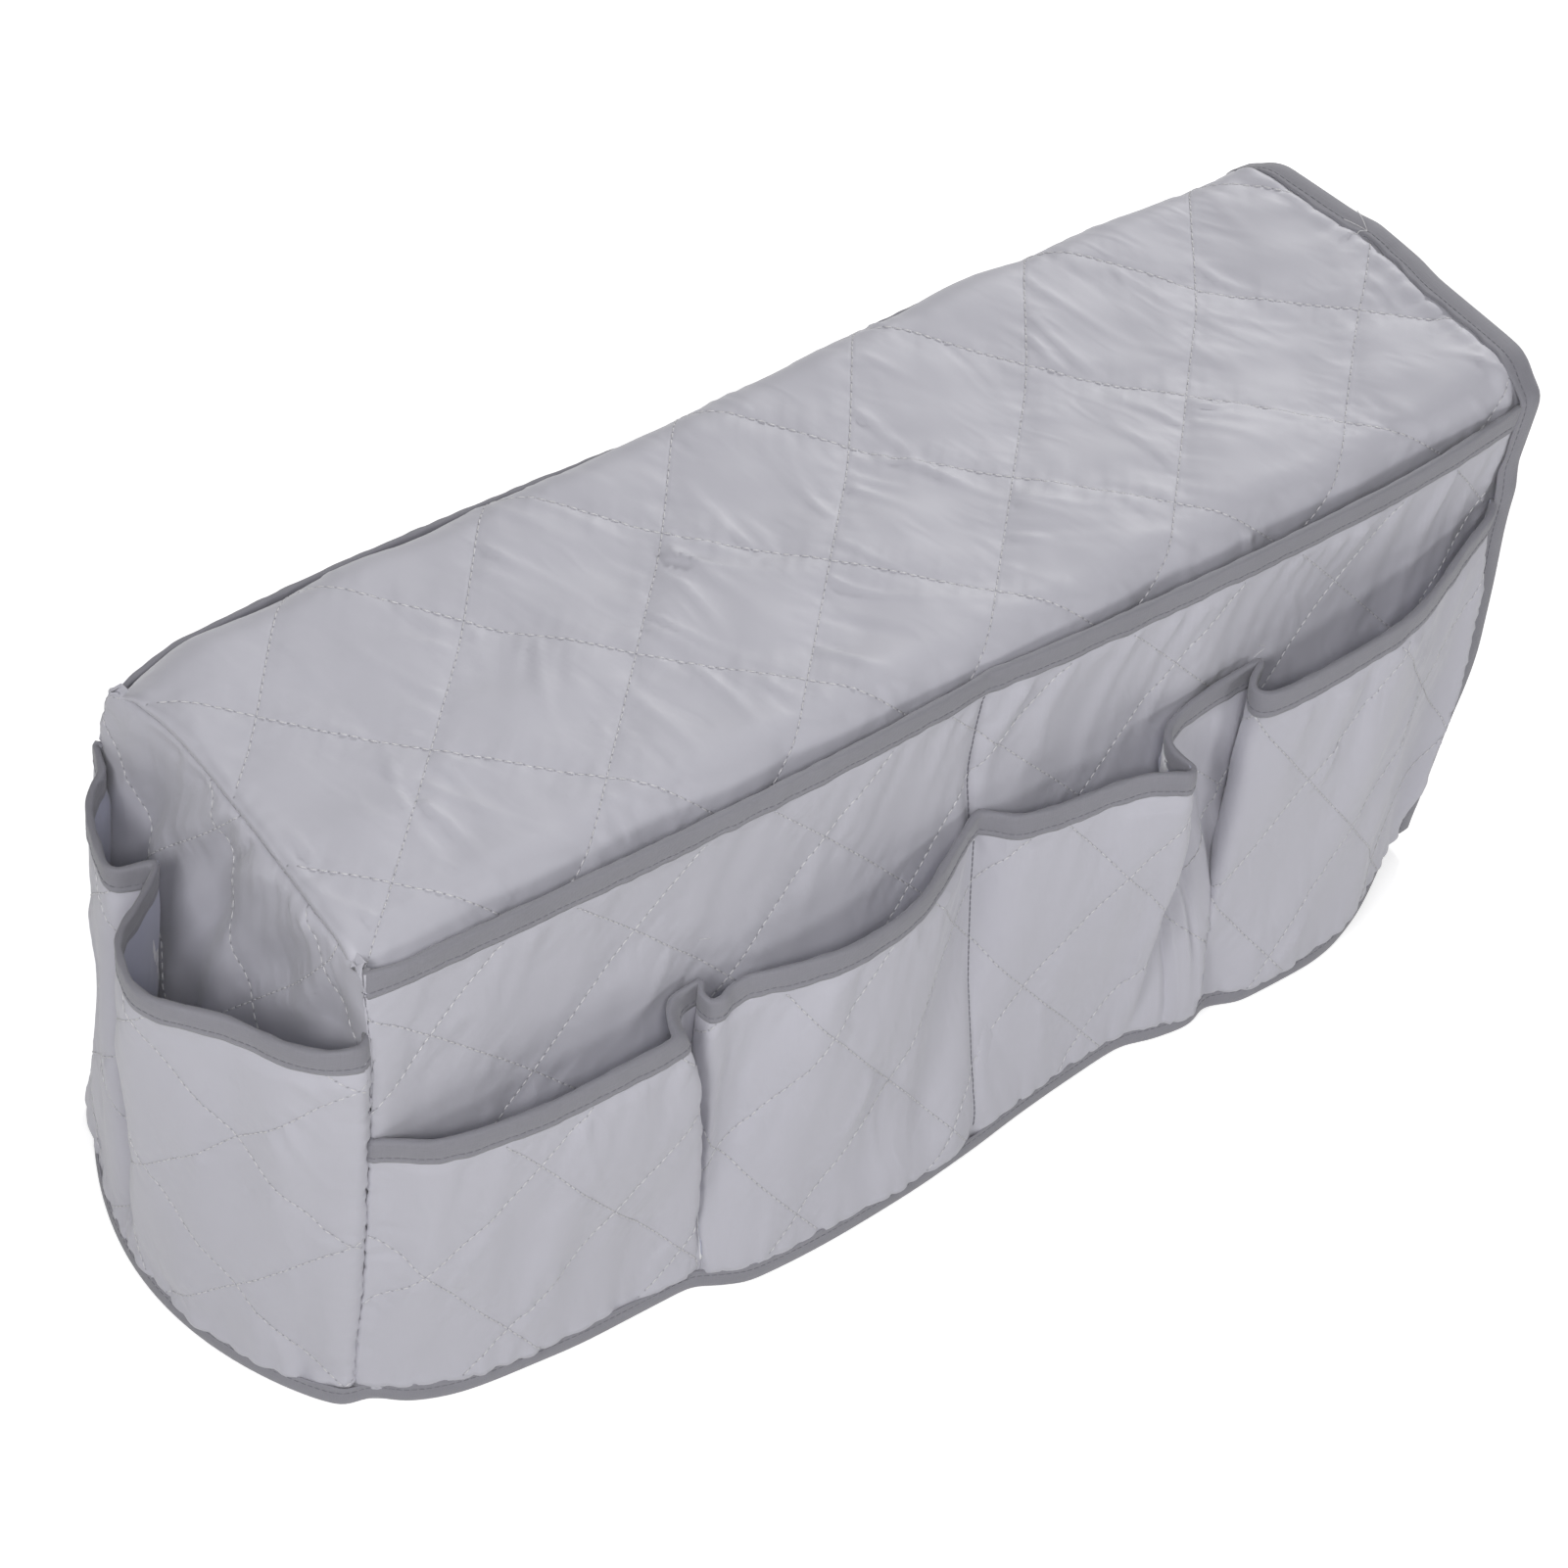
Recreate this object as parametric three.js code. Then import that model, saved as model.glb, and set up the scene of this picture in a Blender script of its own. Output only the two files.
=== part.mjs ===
// A slip-over armrest cover with pockets: quilted cloth in three layers, bound at every open edge.
// Millimetres, +Z up. +X runs along the armrest from the closed end to the open end.

import * as THREE from 'three';

// Cover, as it stands open on a table
const topWidth = 170;
const standingHeight = 266;
const foldRadius = 18;
const hemLean = 7;

// Cloth layers, from the outside in
const coverLayers = { face: 0.6, wadding: 2.6, lining: 0.5 };
const pocketLayers = { face: 0.5, wadding: 1.2, lining: 0.4 };
const layerGap = 0.3;
const stackGap = 0.8;

// Binding tape, folded over each raw edge
const tapeWidth = 12;
const tapeThickness = 0.5;
const tapeGap = 0.3;

// Heights below the top where the side cloth bends
const straightDrop = 55;
const upperBend = 115;
const lowerBend = 185;

// How far the hem stands out from the cover's side, at the seams and in the belly between them
const hemAtCorner = 14;
const hemAtFirstPleat = 42;
const hemAtCentre = 49;
const hemAtSecondPleat = 51;
const hemAtOpenEnd = 26;
const flarePower = 1.66;
const cornerBulge = 9;
const cornerReach = 35;

// Long-side pockets from the closed end: width along the side, and the belly of the hem below each
// as a share of the fullest one
const firstPocketWidth = 144;
const secondPocketWidth = 144;
const thirdPocketWidth = 131;
const fourthPocketWidth = 175;
const fullestBelly = 12;
const sidePockets = [
  { width: firstPocketWidth, belly: 1, parts: 4 },
  { width: secondPocketWidth, belly: 0.83, parts: 3 },
  { width: thirdPocketWidth, belly: -0.25, parts: 3 },
  { width: fourthPocketWidth, belly: 1, parts: 4 },
];

// Large pockets: drop of the mouth below the top, and how far the cloth gapes from the cover
const largeDropClosedEnd = 5;
const largeDropOpenEnd = 13;
const largeMouthLift = 3;
const largeMouthGape = 7.5;
const largeUpperGape = 6;
const largeLowerGape = 7;

// Small pockets: drop of the mouth, and the line of the mouth seen from above.
// Each mouth point is a share of the pocket's width and a share of the mouth's gape.
const smallDropClosedEnd = 92;
const smallDropOpenEnd = 60;
const smallDropPower = 1.6;
const smallMouthGape = 22;
const smallMouths = [
  [[0, 0], [0.14, 0.59], [0.5, 0.8], [0.8, 0.77]],
  [[0.28, 0.91], [0.6, 1]],
  [[0, 0], [0.2, 0.45], [0.42, 0.77]],
  [[0.24, 0.91], [0.5, 0.73], [0.76, 0.27]],
];

// Pleats between small pockets, seen from above: distance from the pleat's foot at the hem as a share
// of the pleat's width at the mouth, and a share of the mouth's gape
const firstPleatWidth = 22;
const firstPleat = [[-0.59, 0.36], [-0.18, 0.05], [0.27, 0.05], [0.41, 0.68]];
const secondPleatWidth = 65;
const secondPleat = [[-0.65, 1.41], [-0.57, 0.59], [-0.35, 0.05], [0.23, 0.05], [0.35, 0.64]];
const pleatFootPitch = 2.4;

// End panel and its pleated pocket: outermost bulge at the hem, and the mouth seen from above.
// Each mouth point is a distance from the middle towards the back as a share of half the top's width,
// and a share of the mouth's gape.
const endBulge = 39;
const endBulgePower = 0.75;
const endFlarePower = 1.3;
const endParts = 6;
const endMiddleDrop = 150;
const endMouthDropFront = 34;
const endMouthDropBack = 50;
const endMouthGape = 53;
const endMouth = [
  [0.85, 0.34], [0.65, 0.53], [0.47, 0.62], [0.35, 0.58], [0.29, 0.38],
  [0.2, 0.62], [0.07, 0.91], [-0.16, 1], [-0.45, 0.87], [-0.71, 0.64], [-0.91, 0.38],
];

// Colours
const faceColour = 0xb5b2bc;
const waddingColour = 0xe8e8ea;
const liningColour = 0xa4a7c4;
const bindingColour = 0x85848d;

const sum = (values) => values.reduce((total, value) => total + value, 0);
const depthOf = (layers) => layers.face + layers.wadding + layers.lining + 2 * layerGap;
const mix = THREE.MathUtils.lerp;

const coverDepth = depthOf(coverLayers);
const pocketDepth = depthOf(pocketLayers);
const tapeReach = tapeGap + tapeThickness;
const coverLength = sum(sidePockets.map((pocket) => pocket.width));
const firstPleatPlace = sidePockets[0].width;
const centreSeam = firstPleatPlace + sidePockets[1].width;
const secondPleatPlace = centreSeam + sidePockets[2].width;
const hemBandDrop = standingHeight - tapeWidth;
const hemDrop = standingHeight - tapeReach;
const sideHalf = topWidth / 2;
const flatHalf = sideHalf - foldRadius;
const lidThickness = layerGap + coverDepth;

// Places along the side where every layer has a column of points, so that the layers nest
const sideSeams = [0, firstPleatPlace, centreSeam, secondPleatPlace, coverLength];
const hemAtSeams = [hemAtCorner, hemAtFirstPleat, hemAtCentre, hemAtSecondPleat, hemAtOpenEnd];
const sideStations = sidePockets.flatMap(({ width, parts }, pocket) =>
  Array.from({ length: parts }, (_, part) => sideSeams[pocket] + width * part / parts));
const openBandStart = coverLength - tapeWidth;
sideStations.push(openBandStart, coverLength);

// Value of a line through the given places, straight between them
function along(places, values, place) {
  const last = places.length - 1;
  const after = places.findIndex((edge) => edge >= place);
  const right = after < 0 ? last : Math.max(after, 1);
  const share = (place - places[right - 1]) / (places[right] - places[right - 1]);
  return mix(values[right - 1], values[right], THREE.MathUtils.clamp(share, 0, 1));
}

// How far the outermost cloth stands out at the hem
const hemBellies = sideStations.map((place) => {
  const pocket = sidePockets.findIndex((_, index) => place <= sideSeams[index + 1]);
  const share = (place - sideSeams[pocket]) / sidePockets[pocket].width;
  const belly = fullestBelly * sidePockets[pocket].belly * Math.sin(Math.PI * share);
  return along(sideSeams, hemAtSeams, place) + belly;
});
const hemOut = (place) => along(sideStations, hemBellies, Math.min(place, openBandStart));

// How far a point of the standing cloth leans towards the closed end
const leanAt = (drop) => hemLean * drop / standingHeight;

// How far the cover's outer face stands out from the fold at each bend, and between bends
const bends = [foldRadius, straightDrop, upperBend, lowerBend, hemBandDrop, hemDrop];
const pocketPitch = pocketDepth + stackGap;

function coverOutAtBend(place, drop) {
  const share = Math.min(drop / hemBandDrop, 1);
  const hanging = drop <= straightDrop ? 0 : (hemOut(place) - 2 * pocketPitch) * share ** flarePower;
  const nearCorner = Math.exp(-Math.max(place, 0) / cornerReach);
  const corner = cornerBulge * Math.min(drop / straightDrop, 1);
  return mix(hanging, corner, drop > hemBandDrop - 1 ? 0 : nearCorner);
}

function coverOut(place, drop) {
  const held = Math.min(place, openBandStart);
  return along(bends, bends.map((bend) => coverOutAtBend(held, bend)), drop);
}

// Large pockets, one on each side of the centre seam
function largeLobe(place) {
  const secondWidth = openBandStart - centreSeam;
  const share = place < centreSeam ? place / centreSeam : (place - centreSeam) / secondWidth;
  return Math.sin(Math.PI * THREE.MathUtils.clamp(share, 0, 1)) ** 0.6;
}

function largeDrop(place) {
  const held = Math.min(place, openBandStart);
  const slope = mix(largeDropClosedEnd, largeDropOpenEnd, held / openBandStart);
  return slope - largeMouthLift * largeLobe(held);
}

function largeOut(place, drop) {
  const gapes = [largeMouthGape, largeMouthGape, largeUpperGape, largeLowerGape, 0, 0];
  const gape = along(bends, gapes, drop) * largeLobe(place);
  return coverOut(place, drop) + layerGap + pocketDepth + gape;
}

// Grids of points: grid[i][j] is column i along the cloth and row j down it.
// The outside of the cloth is the side that (row step) x (column step) points to.
const gridOf = (columns, rows, place) => columns.map((column) => rows.map((row) => place(column, row)));

// Normals of the end columns keep to the plane of the raw edge, and those of the last row stay level.
function gridNormals(grid, edgeAxis) {
  const clampIndex = (index, length) => Math.min(Math.max(index, 0), length - 1);
  const step = (i, j, di, dj) => {
    const ahead = grid[clampIndex(i + di, grid.length)][clampIndex(j + dj, grid[0].length)];
    const behind = grid[clampIndex(i - di, grid.length)][clampIndex(j - dj, grid[0].length)];
    const forward = ahead.clone().sub(grid[i][j]);
    const backward = grid[i][j].clone().sub(behind);
    forward.normalize();
    backward.normalize();
    return forward.add(backward);
  };
  return grid.map((column, i) => column.map((_, j) => {
    const normal = new THREE.Vector3().crossVectors(step(i, j, 0, 1), step(i, j, 1, 0));
    if (i === 0 || i === grid.length - 1) {
      normal[edgeAxis] = 0;
    }
    if (j === column.length - 1 || grid[i][0].z < tapeWidth && j === 0) {
      normal.z = 0;
    }
    return normal.normalize();
  }));
}

const offsetGrid = (grid, normals, distance) => grid.map((column, i) =>
  column.map((point, j) => point.clone().addScaledVector(normals[i][j], distance)));

// Closed solid between two grids of the same size. Both sides of a quad are split along one diagonal,
// and the rows before mirrorRow are split the other way, as on a mirrored sheet.
function shell(outer, inner, mirrorRow = 0) {
  const columns = outer.length;
  const rows = outer[0].length;
  const at = (side, i, j) => (side * columns + i) * rows + j;
  const faces = [];
  const quad = (a, b, c, d) => faces.push(a, b, c, a, c, d);
  for (let i = 0; i + 1 < columns; i += 1) {
    for (let j = 0; j + 1 < rows; j += 1) {
      if (j < mirrorRow) {
        quad(at(0, i, j + 1), at(0, i + 1, j + 1), at(0, i + 1, j), at(0, i, j));
        quad(at(1, i + 1, j), at(1, i + 1, j + 1), at(1, i, j + 1), at(1, i, j));
      } else {
        quad(at(0, i, j), at(0, i, j + 1), at(0, i + 1, j + 1), at(0, i + 1, j));
        quad(at(1, i, j), at(1, i + 1, j), at(1, i + 1, j + 1), at(1, i, j + 1));
      }
    }
    quad(at(0, i, 0), at(0, i + 1, 0), at(1, i + 1, 0), at(1, i, 0));
    quad(at(0, i + 1, rows - 1), at(0, i, rows - 1), at(1, i, rows - 1), at(1, i + 1, rows - 1));
  }
  for (let j = 0; j + 1 < rows; j += 1) {
    quad(at(0, 0, j + 1), at(0, 0, j), at(1, 0, j), at(1, 0, j + 1));
    quad(at(0, columns - 1, j), at(0, columns - 1, j + 1), at(1, columns - 1, j + 1), at(1, columns - 1, j));
  }
  const geometry = new THREE.BufferGeometry();
  const points = [...outer.flat(), ...inner.flat()];
  geometry.setAttribute('position', new THREE.Float32BufferAttribute(points.flatMap((p) => [p.x, p.y, p.z]), 3));
  geometry.setIndex(faces);
  geometry.computeVertexNormals();
  return geometry;
}

// The same solid on the other long side
function mirrored(geometry) {
  const copy = geometry.clone();
  copy.scale(1, -1, 1);
  const index = copy.getIndex();
  for (let face = 0; face < index.count; face += 3) {
    const kept = index.getX(face + 1);
    index.setX(face + 1, index.getX(face + 2));
    index.setX(face + 2, kept);
  }
  copy.computeVertexNormals();
  return copy;
}

const product = new THREE.Group();

const fabric = (colour, roughness) => new THREE.MeshStandardMaterial({ color: colour, roughness, metalness: 0 });
const finishes = {
  face: fabric(faceColour, 0.55),
  wadding: fabric(waddingColour, 0.95),
  lining: fabric(liningColour, 0.6),
  binding: fabric(bindingColour, 0.75),
};

function addPiece(name, geometry, finish) {
  const piece = new THREE.Mesh(geometry, finishes[finish]);
  piece.name = name;
  product.add(piece);
}

// Three nested layers under one outer surface
function layerGeometries(grid, layers, edgeAxis, mirrorRow = 0) {
  const normals = gridNormals(grid, edgeAxis);
  let depth = 0;
  return Object.entries(layers).map(([layer, thickness]) => {
    const outer = offsetGrid(grid, normals, -depth);
    const inner = offsetGrid(grid, normals, -depth - thickness);
    depth += thickness + layerGap;
    return [layer, shell(outer, inner, mirrorRow)];
  });
}

// Tape folded over the first row of a panel: outer leg, edge, inner leg
function mouthTape(grid, depth, edgeAxis) {
  const normals = gridNormals(grid, edgeAxis);
  const band = grid.map((column, i) => {
    const out = normals[i][0];
    const up = column[0].clone().sub(column[1]).normalize();
    const at = (row, outward, rise) => column[row].clone().addScaledVector(out, outward).addScaledVector(up, rise);
    const around = (clear) => [
      at(0, -depth - clear, clear), at(0, clear, clear),
    ];
    const [outerBack, outerFront] = around(tapeReach);
    const [innerBack, innerFront] = around(tapeGap);
    return {
      outer: [at(1, -depth - tapeReach, 0), outerBack, outerFront, at(1, tapeReach, 0)],
      inner: [at(1, -depth - tapeGap, 0), innerBack, innerFront, at(1, tapeGap, 0)],
    };
  });
  return shell(band.map((section) => section.outer), band.map((section) => section.inner));
}

// Rows of the cover: across the top, round the fold and down the side
const foldPoint = (turn) => ({
  half: flatHalf + foldRadius * Math.sin(turn),
  drop: foldRadius * (1 - Math.cos(turn)),
});
const foldRows = [0, Math.PI / 4].map(foldPoint);
const sideRows = bends.map((drop) => ({ half: sideHalf, drop }));
const halfRows = [...foldRows, ...sideRows];

function coverPoint(place, row, side) {
  const out = row.half === sideHalf ? coverOut(place, row.drop) : 0;
  return new THREE.Vector3(place - leanAt(row.drop), side * (row.half + out), standingHeight - row.drop);
}

const coverRows = [
  ...[...halfRows].reverse().map((row) => ({ row, side: 1 })),
  ...halfRows.map((row) => ({ row, side: -1 })),
];
const coverGrid = gridOf(sideStations, coverRows, (place, { row, side }) => coverPoint(place, row, side));
for (const [layer, geometry] of layerGeometries(coverGrid, coverLayers, 'x', halfRows.length)) {
  addPiece(`cover_${layer}`, geometry, layer);
}

// Point of the front side at a place along it, a drop below the top and a stand-out from the fold
function frontPoint(place, drop, out) {
  return new THREE.Vector3(place - leanAt(drop), -sideHalf - out, standingHeight - drop);
}

// A pocket panel's edge at the closed end runs on straight over the edge of the end panel
function withLap(grid) {
  const lap = grid[0].map((point) => point.clone().setX(point.x - lidThickness));
  return [lap, ...grid];
}

// Large pockets
const largeGrid = withLap(sideStations.map((place) => {
  const mouth = largeDrop(place);
  const mouthOut = largeOut(place, mouth + tapeWidth) + tapeReach;
  const rest = [straightDrop, upperBend, lowerBend, hemBandDrop, hemDrop];
  return [
    frontPoint(place, mouth, mouthOut),
    frontPoint(place, mouth + tapeWidth, mouthOut),
    ...rest.map((drop) => frontPoint(place, drop, largeOut(place, drop))),
  ];
}));

// Small pockets: columns of points across the four pockets and the two pleats between them
const smallDrop = (place) => mix(
  smallDropClosedEnd,
  smallDropOpenEnd,
  (Math.min(place, openBandStart) / openBandStart) ** smallDropPower,
);

const pocketColumns = (pocket) => smallMouths[pocket].map(([share, gape], index, list) => {
  const { width, parts } = sidePockets[pocket];
  const firstPart = list[0][0] > 0 ? 1 : 0;
  return {
    mouth: sideSeams[pocket] + width * share,
    standOut: smallMouthGape * gape,
    hem: sideSeams[pocket] + width * (index + firstPart) / parts,
  };
});

const pleatColumns = (foot, width, outline) => outline.map(([distance, gape], index) => ({
  mouth: foot + width * distance,
  standOut: smallMouthGape * gape,
  hem: foot + (index - (outline.length - 1) / 2) * pleatFootPitch,
}));

const smallColumns = [
  ...pocketColumns(0),
  ...pleatColumns(firstPleatPlace, firstPleatWidth, firstPleat),
  ...pocketColumns(1),
  ...pocketColumns(2),
  ...pleatColumns(secondPleatPlace, secondPleatWidth, secondPleat),
  ...pocketColumns(3),
  { mouth: openBandStart, standOut: 0, hem: openBandStart },
  { mouth: coverLength, standOut: 0, hem: coverLength },
];

const seamClear = layerGap + tapeReach + pocketDepth;

const smallGrid = withLap(smallColumns.map(({ mouth, standOut, hem }) => {
  const mouthDrop = smallDrop(mouth);
  const mouthOut = largeOut(mouth, mouthDrop + tapeWidth) + seamClear + standOut;
  const hemOutward = hemOut(hem);
  const share = (lowerBend - mouthDrop - tapeWidth) / (hemBandDrop - mouthDrop - tapeWidth);
  const midPlace = mix(mouth, hem, share);
  const midOut = Math.max(mix(mouthOut, hemOutward, share), largeOut(midPlace, lowerBend) + seamClear);
  return [
    frontPoint(mouth, mouthDrop, mouthOut),
    frontPoint(mouth, mouthDrop + tapeWidth, mouthOut),
    frontPoint(midPlace, lowerBend, midOut),
    frontPoint(hem, hemBandDrop, hemOutward),
    frontPoint(hem, hemDrop, hemOutward),
  ];
}));

for (const [pocket, grid] of Object.entries({ large: largeGrid, small: smallGrid })) {
  for (const [layer, geometry] of layerGeometries(grid, pocketLayers, 'x')) {
    addPiece(`front_${pocket}_${layer}`, geometry, layer);
    addPiece(`back_${pocket}_${layer}`, mirrored(geometry), layer);
  }
  const tape = mouthTape(grid, pocketDepth, 'x');
  addPiece(`front_${pocket}_binding`, tape, 'binding');
  addPiece(`back_${pocket}_binding`, mirrored(tape), 'binding');
}

// End panel: laid over the raw edge of the cover, flush with its outside
const endStations = Array.from({ length: endParts + 1 }, (_, part) => part / endParts);
const endBellies = endStations.map((share) => Math.sin(Math.PI * share) ** endBulgePower);
const endBelly = (share) => along(endStations, endBellies, share);
const endCoverHalf = (row) => (row.half === sideHalf ? row.half + coverOut(0, row.drop) : row.half);

function endPoint(half, share, drop, out) {
  const y = mix(half, -half, share);
  return new THREE.Vector3(-leanAt(drop) - out, y, standingHeight - drop);
}

const endGrid = gridOf(endStations, halfRows, (share, row) => {
  const hanging = Math.min(row.drop / hemBandDrop, 1) ** endFlarePower;
  return endPoint(endCoverHalf(row), share, row.drop, lidThickness + endBulge * endBelly(share) * hanging);
});
for (const [layer, geometry] of layerGeometries(endGrid, coverLayers, 'y')) {
  addPiece(`end_panel_${layer}`, geometry, layer);
}

// End pocket: its side edges close over the edges of the long-side pockets
const endPocketBase = lidThickness + pocketPitch;
const endPocketHalf = (drop) => {
  const overLarge = sideHalf + coverOut(0, drop) + layerGap + pocketDepth;
  return drop < smallDropClosedEnd ? overLarge : sideHalf + hemAtCorner;
};
const endColumns = [null, ...endMouth, null].map((point, index, list) => {
  const share = index / (list.length - 1);
  const edge = endPocketHalf(endMouthDropFront);
  const distance = point ? sideHalf * point[0] : mix(edge, -edge, share);
  return { share, distance, standOut: point ? endMouthGape * point[1] : 0 };
});
const endPocketGrid = endColumns.map(({ share, distance, standOut }) => {
  const edge = endPocketHalf(endMouthDropFront);
  const mouthShare = (edge - distance) / (2 * edge);
  const mouthDrop = mix(endMouthDropBack, endMouthDropFront, mouthShare);
  const bandDrop = mouthDrop + tapeWidth;
  const mouthOut = endPocketBase + tapeReach + standOut;
  const hemOutward = endPocketBase + endBulge * endBelly(share);
  const midway = (endMiddleDrop - bandDrop) / (hemBandDrop - bandDrop);
  return [
    endPoint(edge, mouthShare, mouthDrop, mouthOut),
    endPoint(edge, mouthShare, bandDrop, mouthOut),
    endPoint(endPocketHalf(endMiddleDrop), mix(mouthShare, share, midway), endMiddleDrop,
      mix(mouthOut, hemOutward, midway)),
    endPoint(endPocketHalf(hemBandDrop), share, hemBandDrop, hemOutward),
    endPoint(endPocketHalf(hemDrop), share, hemDrop, hemOutward),
  ];
});
for (const [layer, geometry] of layerGeometries(endPocketGrid, pocketLayers, 'y')) {
  addPiece(`end_pocket_${layer}`, geometry, layer);
}
addPiece('end_pocket_binding', mouthTape(endPocketGrid, pocketDepth, 'y'), 'binding');

// Binding of the open end: from the front hem, over the top, to the back hem.
// Each row gives the outermost cloth there and the cover behind it, with the way out from the middle.
const mouthClear = tapeReach + tapeGap;
const gridRows = (grid) => grid[grid.length - 1].map((point, row) => {
  const nearMouth = row < 2;
  return {
    half: -point.y + (nearMouth ? mouthClear : 0),
    drop: standingHeight - point.z - (row === 0 ? mouthClear : 0),
  };
});
const largeEdge = gridRows(largeGrid).filter(({ drop }) => drop <= straightDrop + tapeGap);
const smallEdge = gridRows(smallGrid);
const diagonal = Math.SQRT1_2;
const openRows = [
  { half: 0, drop: 0, inHalf: 0, inDrop: 0, ny: 0, nz: 1 },
  { half: flatHalf, drop: 0, inHalf: flatHalf, inDrop: 0, ny: 0, nz: 1 },
  { ...foldRows[1], inHalf: foldRows[1].half, inDrop: foldRows[1].drop, ny: diagonal, nz: diagonal },
  ...[...largeEdge, ...smallEdge].map(({ half, drop }) => {
    const inDrop = Math.max(drop, foldRadius);
    return { half, drop, inHalf: sideHalf + coverOut(coverLength, inDrop), inDrop, ny: 1, nz: 0 };
  }),
];

function openSection({ half, drop, inHalf, inDrop, ny, nz }, side) {
  const outside = (place, reach) => new THREE.Vector3(
    place - leanAt(drop),
    side * (half + ny * reach),
    standingHeight - drop + nz * reach,
  );
  const inside = (place, reach) => new THREE.Vector3(
    place - leanAt(inDrop),
    side * (inHalf - ny * (coverDepth + reach)),
    standingHeight - inDrop - nz * (coverDepth + reach),
  );
  const around = (clear) => [
    outside(openBandStart, clear),
    outside(coverLength + clear, clear),
    inside(coverLength + clear, clear),
    inside(openBandStart, clear),
  ];
  return { outer: around(tapeReach), inner: around(tapeGap) };
}

const openSections = [
  ...[...openRows].reverse().map((row) => openSection(row, -1)),
  ...openRows.slice(1).map((row) => openSection(row, 1)),
];
addPiece(
  'open_end_binding',
  shell(openSections.map((section) => section.outer), openSections.map((section) => section.inner)),
  'binding',
);

// Hem binding: along the front, round the closed end and back along the other side.
// Its outer leg follows the outermost cloth at the hem, and its inner leg the cover and end panel.
const hemFront = [...sideStations].reverse().slice(2, -1);
const hemShift = leanAt(hemBandDrop);

function hemLine(halfAt, endOut, cornerOut) {
  const side = (sign) => hemFront.map((place) => new THREE.Vector2(place - hemShift, sign * halfAt(place)));
  const corner = (sign) => new THREE.Vector2(-hemShift - cornerOut, sign * halfAt(0));
  const end = endStations.slice(1, -1).map((share) => new THREE.Vector2(
    -hemShift - endOut - endBulge * endBelly(share),
    mix(-halfAt(0), halfAt(0), share),
  ));
  return [...side(-1), corner(-1), ...end, corner(1), ...side(1).reverse()];
}

// Line moved sideways by a distance, mitred at its corners
function besideLine(line, distance) {
  const edges = line.slice(1).map((point, index) => point.clone().sub(line[index]).normalize());
  return line.map((point, index) => {
    const before = edges[Math.max(index - 1, 0)];
    const after = edges[Math.min(index, edges.length - 1)];
    const middle = before.clone().add(after).normalize();
    const mitre = distance / middle.dot(before);
    return new THREE.Vector2(point.x + middle.y * mitre, point.y - middle.x * mitre);
  });
}

const outermostLine = hemLine((place) => sideHalf + hemOut(place), endPocketBase, endPocketBase);
const coverLine = hemLine((place) => sideHalf + coverOut(place, hemBandDrop), lidThickness, 0);

function hemSections(clear, floor) {
  const outside = besideLine(outermostLine, -clear);
  const inside = besideLine(coverLine, coverDepth + clear);
  return outside.map((point, index) => [
    new THREE.Vector3(inside[index].x, inside[index].y, tapeWidth),
    new THREE.Vector3(inside[index].x, inside[index].y, floor),
    new THREE.Vector3(point.x, point.y, floor),
    new THREE.Vector3(point.x, point.y, tapeWidth),
  ]);
}
addPiece('hem_binding', shell(hemSections(tapeReach, 0), hemSections(tapeGap, tapeThickness)), 'binding');

// The origin is on the ground under the middle of the cover's outline
const outline = new THREE.Box3().setFromObject(product);
product.position.set(-(outline.min.x + outline.max.x) / 2, -(outline.min.y + outline.max.y) / 2, 0);

export default product;
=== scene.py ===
"""Slip-over armrest cover with pockets: quilted cloth in three layers, bound at every open edge.

Lengths are millimetres until a mesh is made, and MM turns them into metres.
Places run along the armrest from the closed end, drops run down from the top.
"""
import logging
from dataclasses import dataclass, field, replace
from enum import Enum

import bmesh
import bpy
import numpy as np
from mathutils import Matrix, Vector


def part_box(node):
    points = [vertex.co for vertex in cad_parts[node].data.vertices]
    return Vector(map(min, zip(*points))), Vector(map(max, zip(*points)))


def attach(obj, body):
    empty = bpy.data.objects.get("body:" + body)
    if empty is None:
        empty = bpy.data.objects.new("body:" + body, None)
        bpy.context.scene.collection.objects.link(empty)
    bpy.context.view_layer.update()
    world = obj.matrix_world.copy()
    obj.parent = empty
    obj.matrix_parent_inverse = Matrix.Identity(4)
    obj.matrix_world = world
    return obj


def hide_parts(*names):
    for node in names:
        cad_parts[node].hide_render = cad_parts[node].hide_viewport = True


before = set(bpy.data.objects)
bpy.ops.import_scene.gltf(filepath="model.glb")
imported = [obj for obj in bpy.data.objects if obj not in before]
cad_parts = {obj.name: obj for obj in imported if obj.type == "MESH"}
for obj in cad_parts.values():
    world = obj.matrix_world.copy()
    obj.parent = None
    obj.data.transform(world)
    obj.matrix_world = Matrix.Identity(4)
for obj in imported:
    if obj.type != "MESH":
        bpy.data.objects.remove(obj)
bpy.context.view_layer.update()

MM = 0.001
TAPE_STEP = 2.3
Array = np.ndarray
Pair = tuple[Array, Array]
Triple = tuple[Array, Array, Array]
Piece = bpy.types.Object
Socket = bpy.types.NodeSocket
log = logging.getLogger("armrest_cover")


class Slot(str, Enum):
    """Names of the material slots."""

    FACE = "face_cloth"
    WADDING = "wadding"
    LINING = "lining_cloth"
    BINDING = "binding_tape"


class Side(Enum):
    """Long sides of the cover, with the sign of their y."""

    FRONT = -1
    BACK = 1


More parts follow.
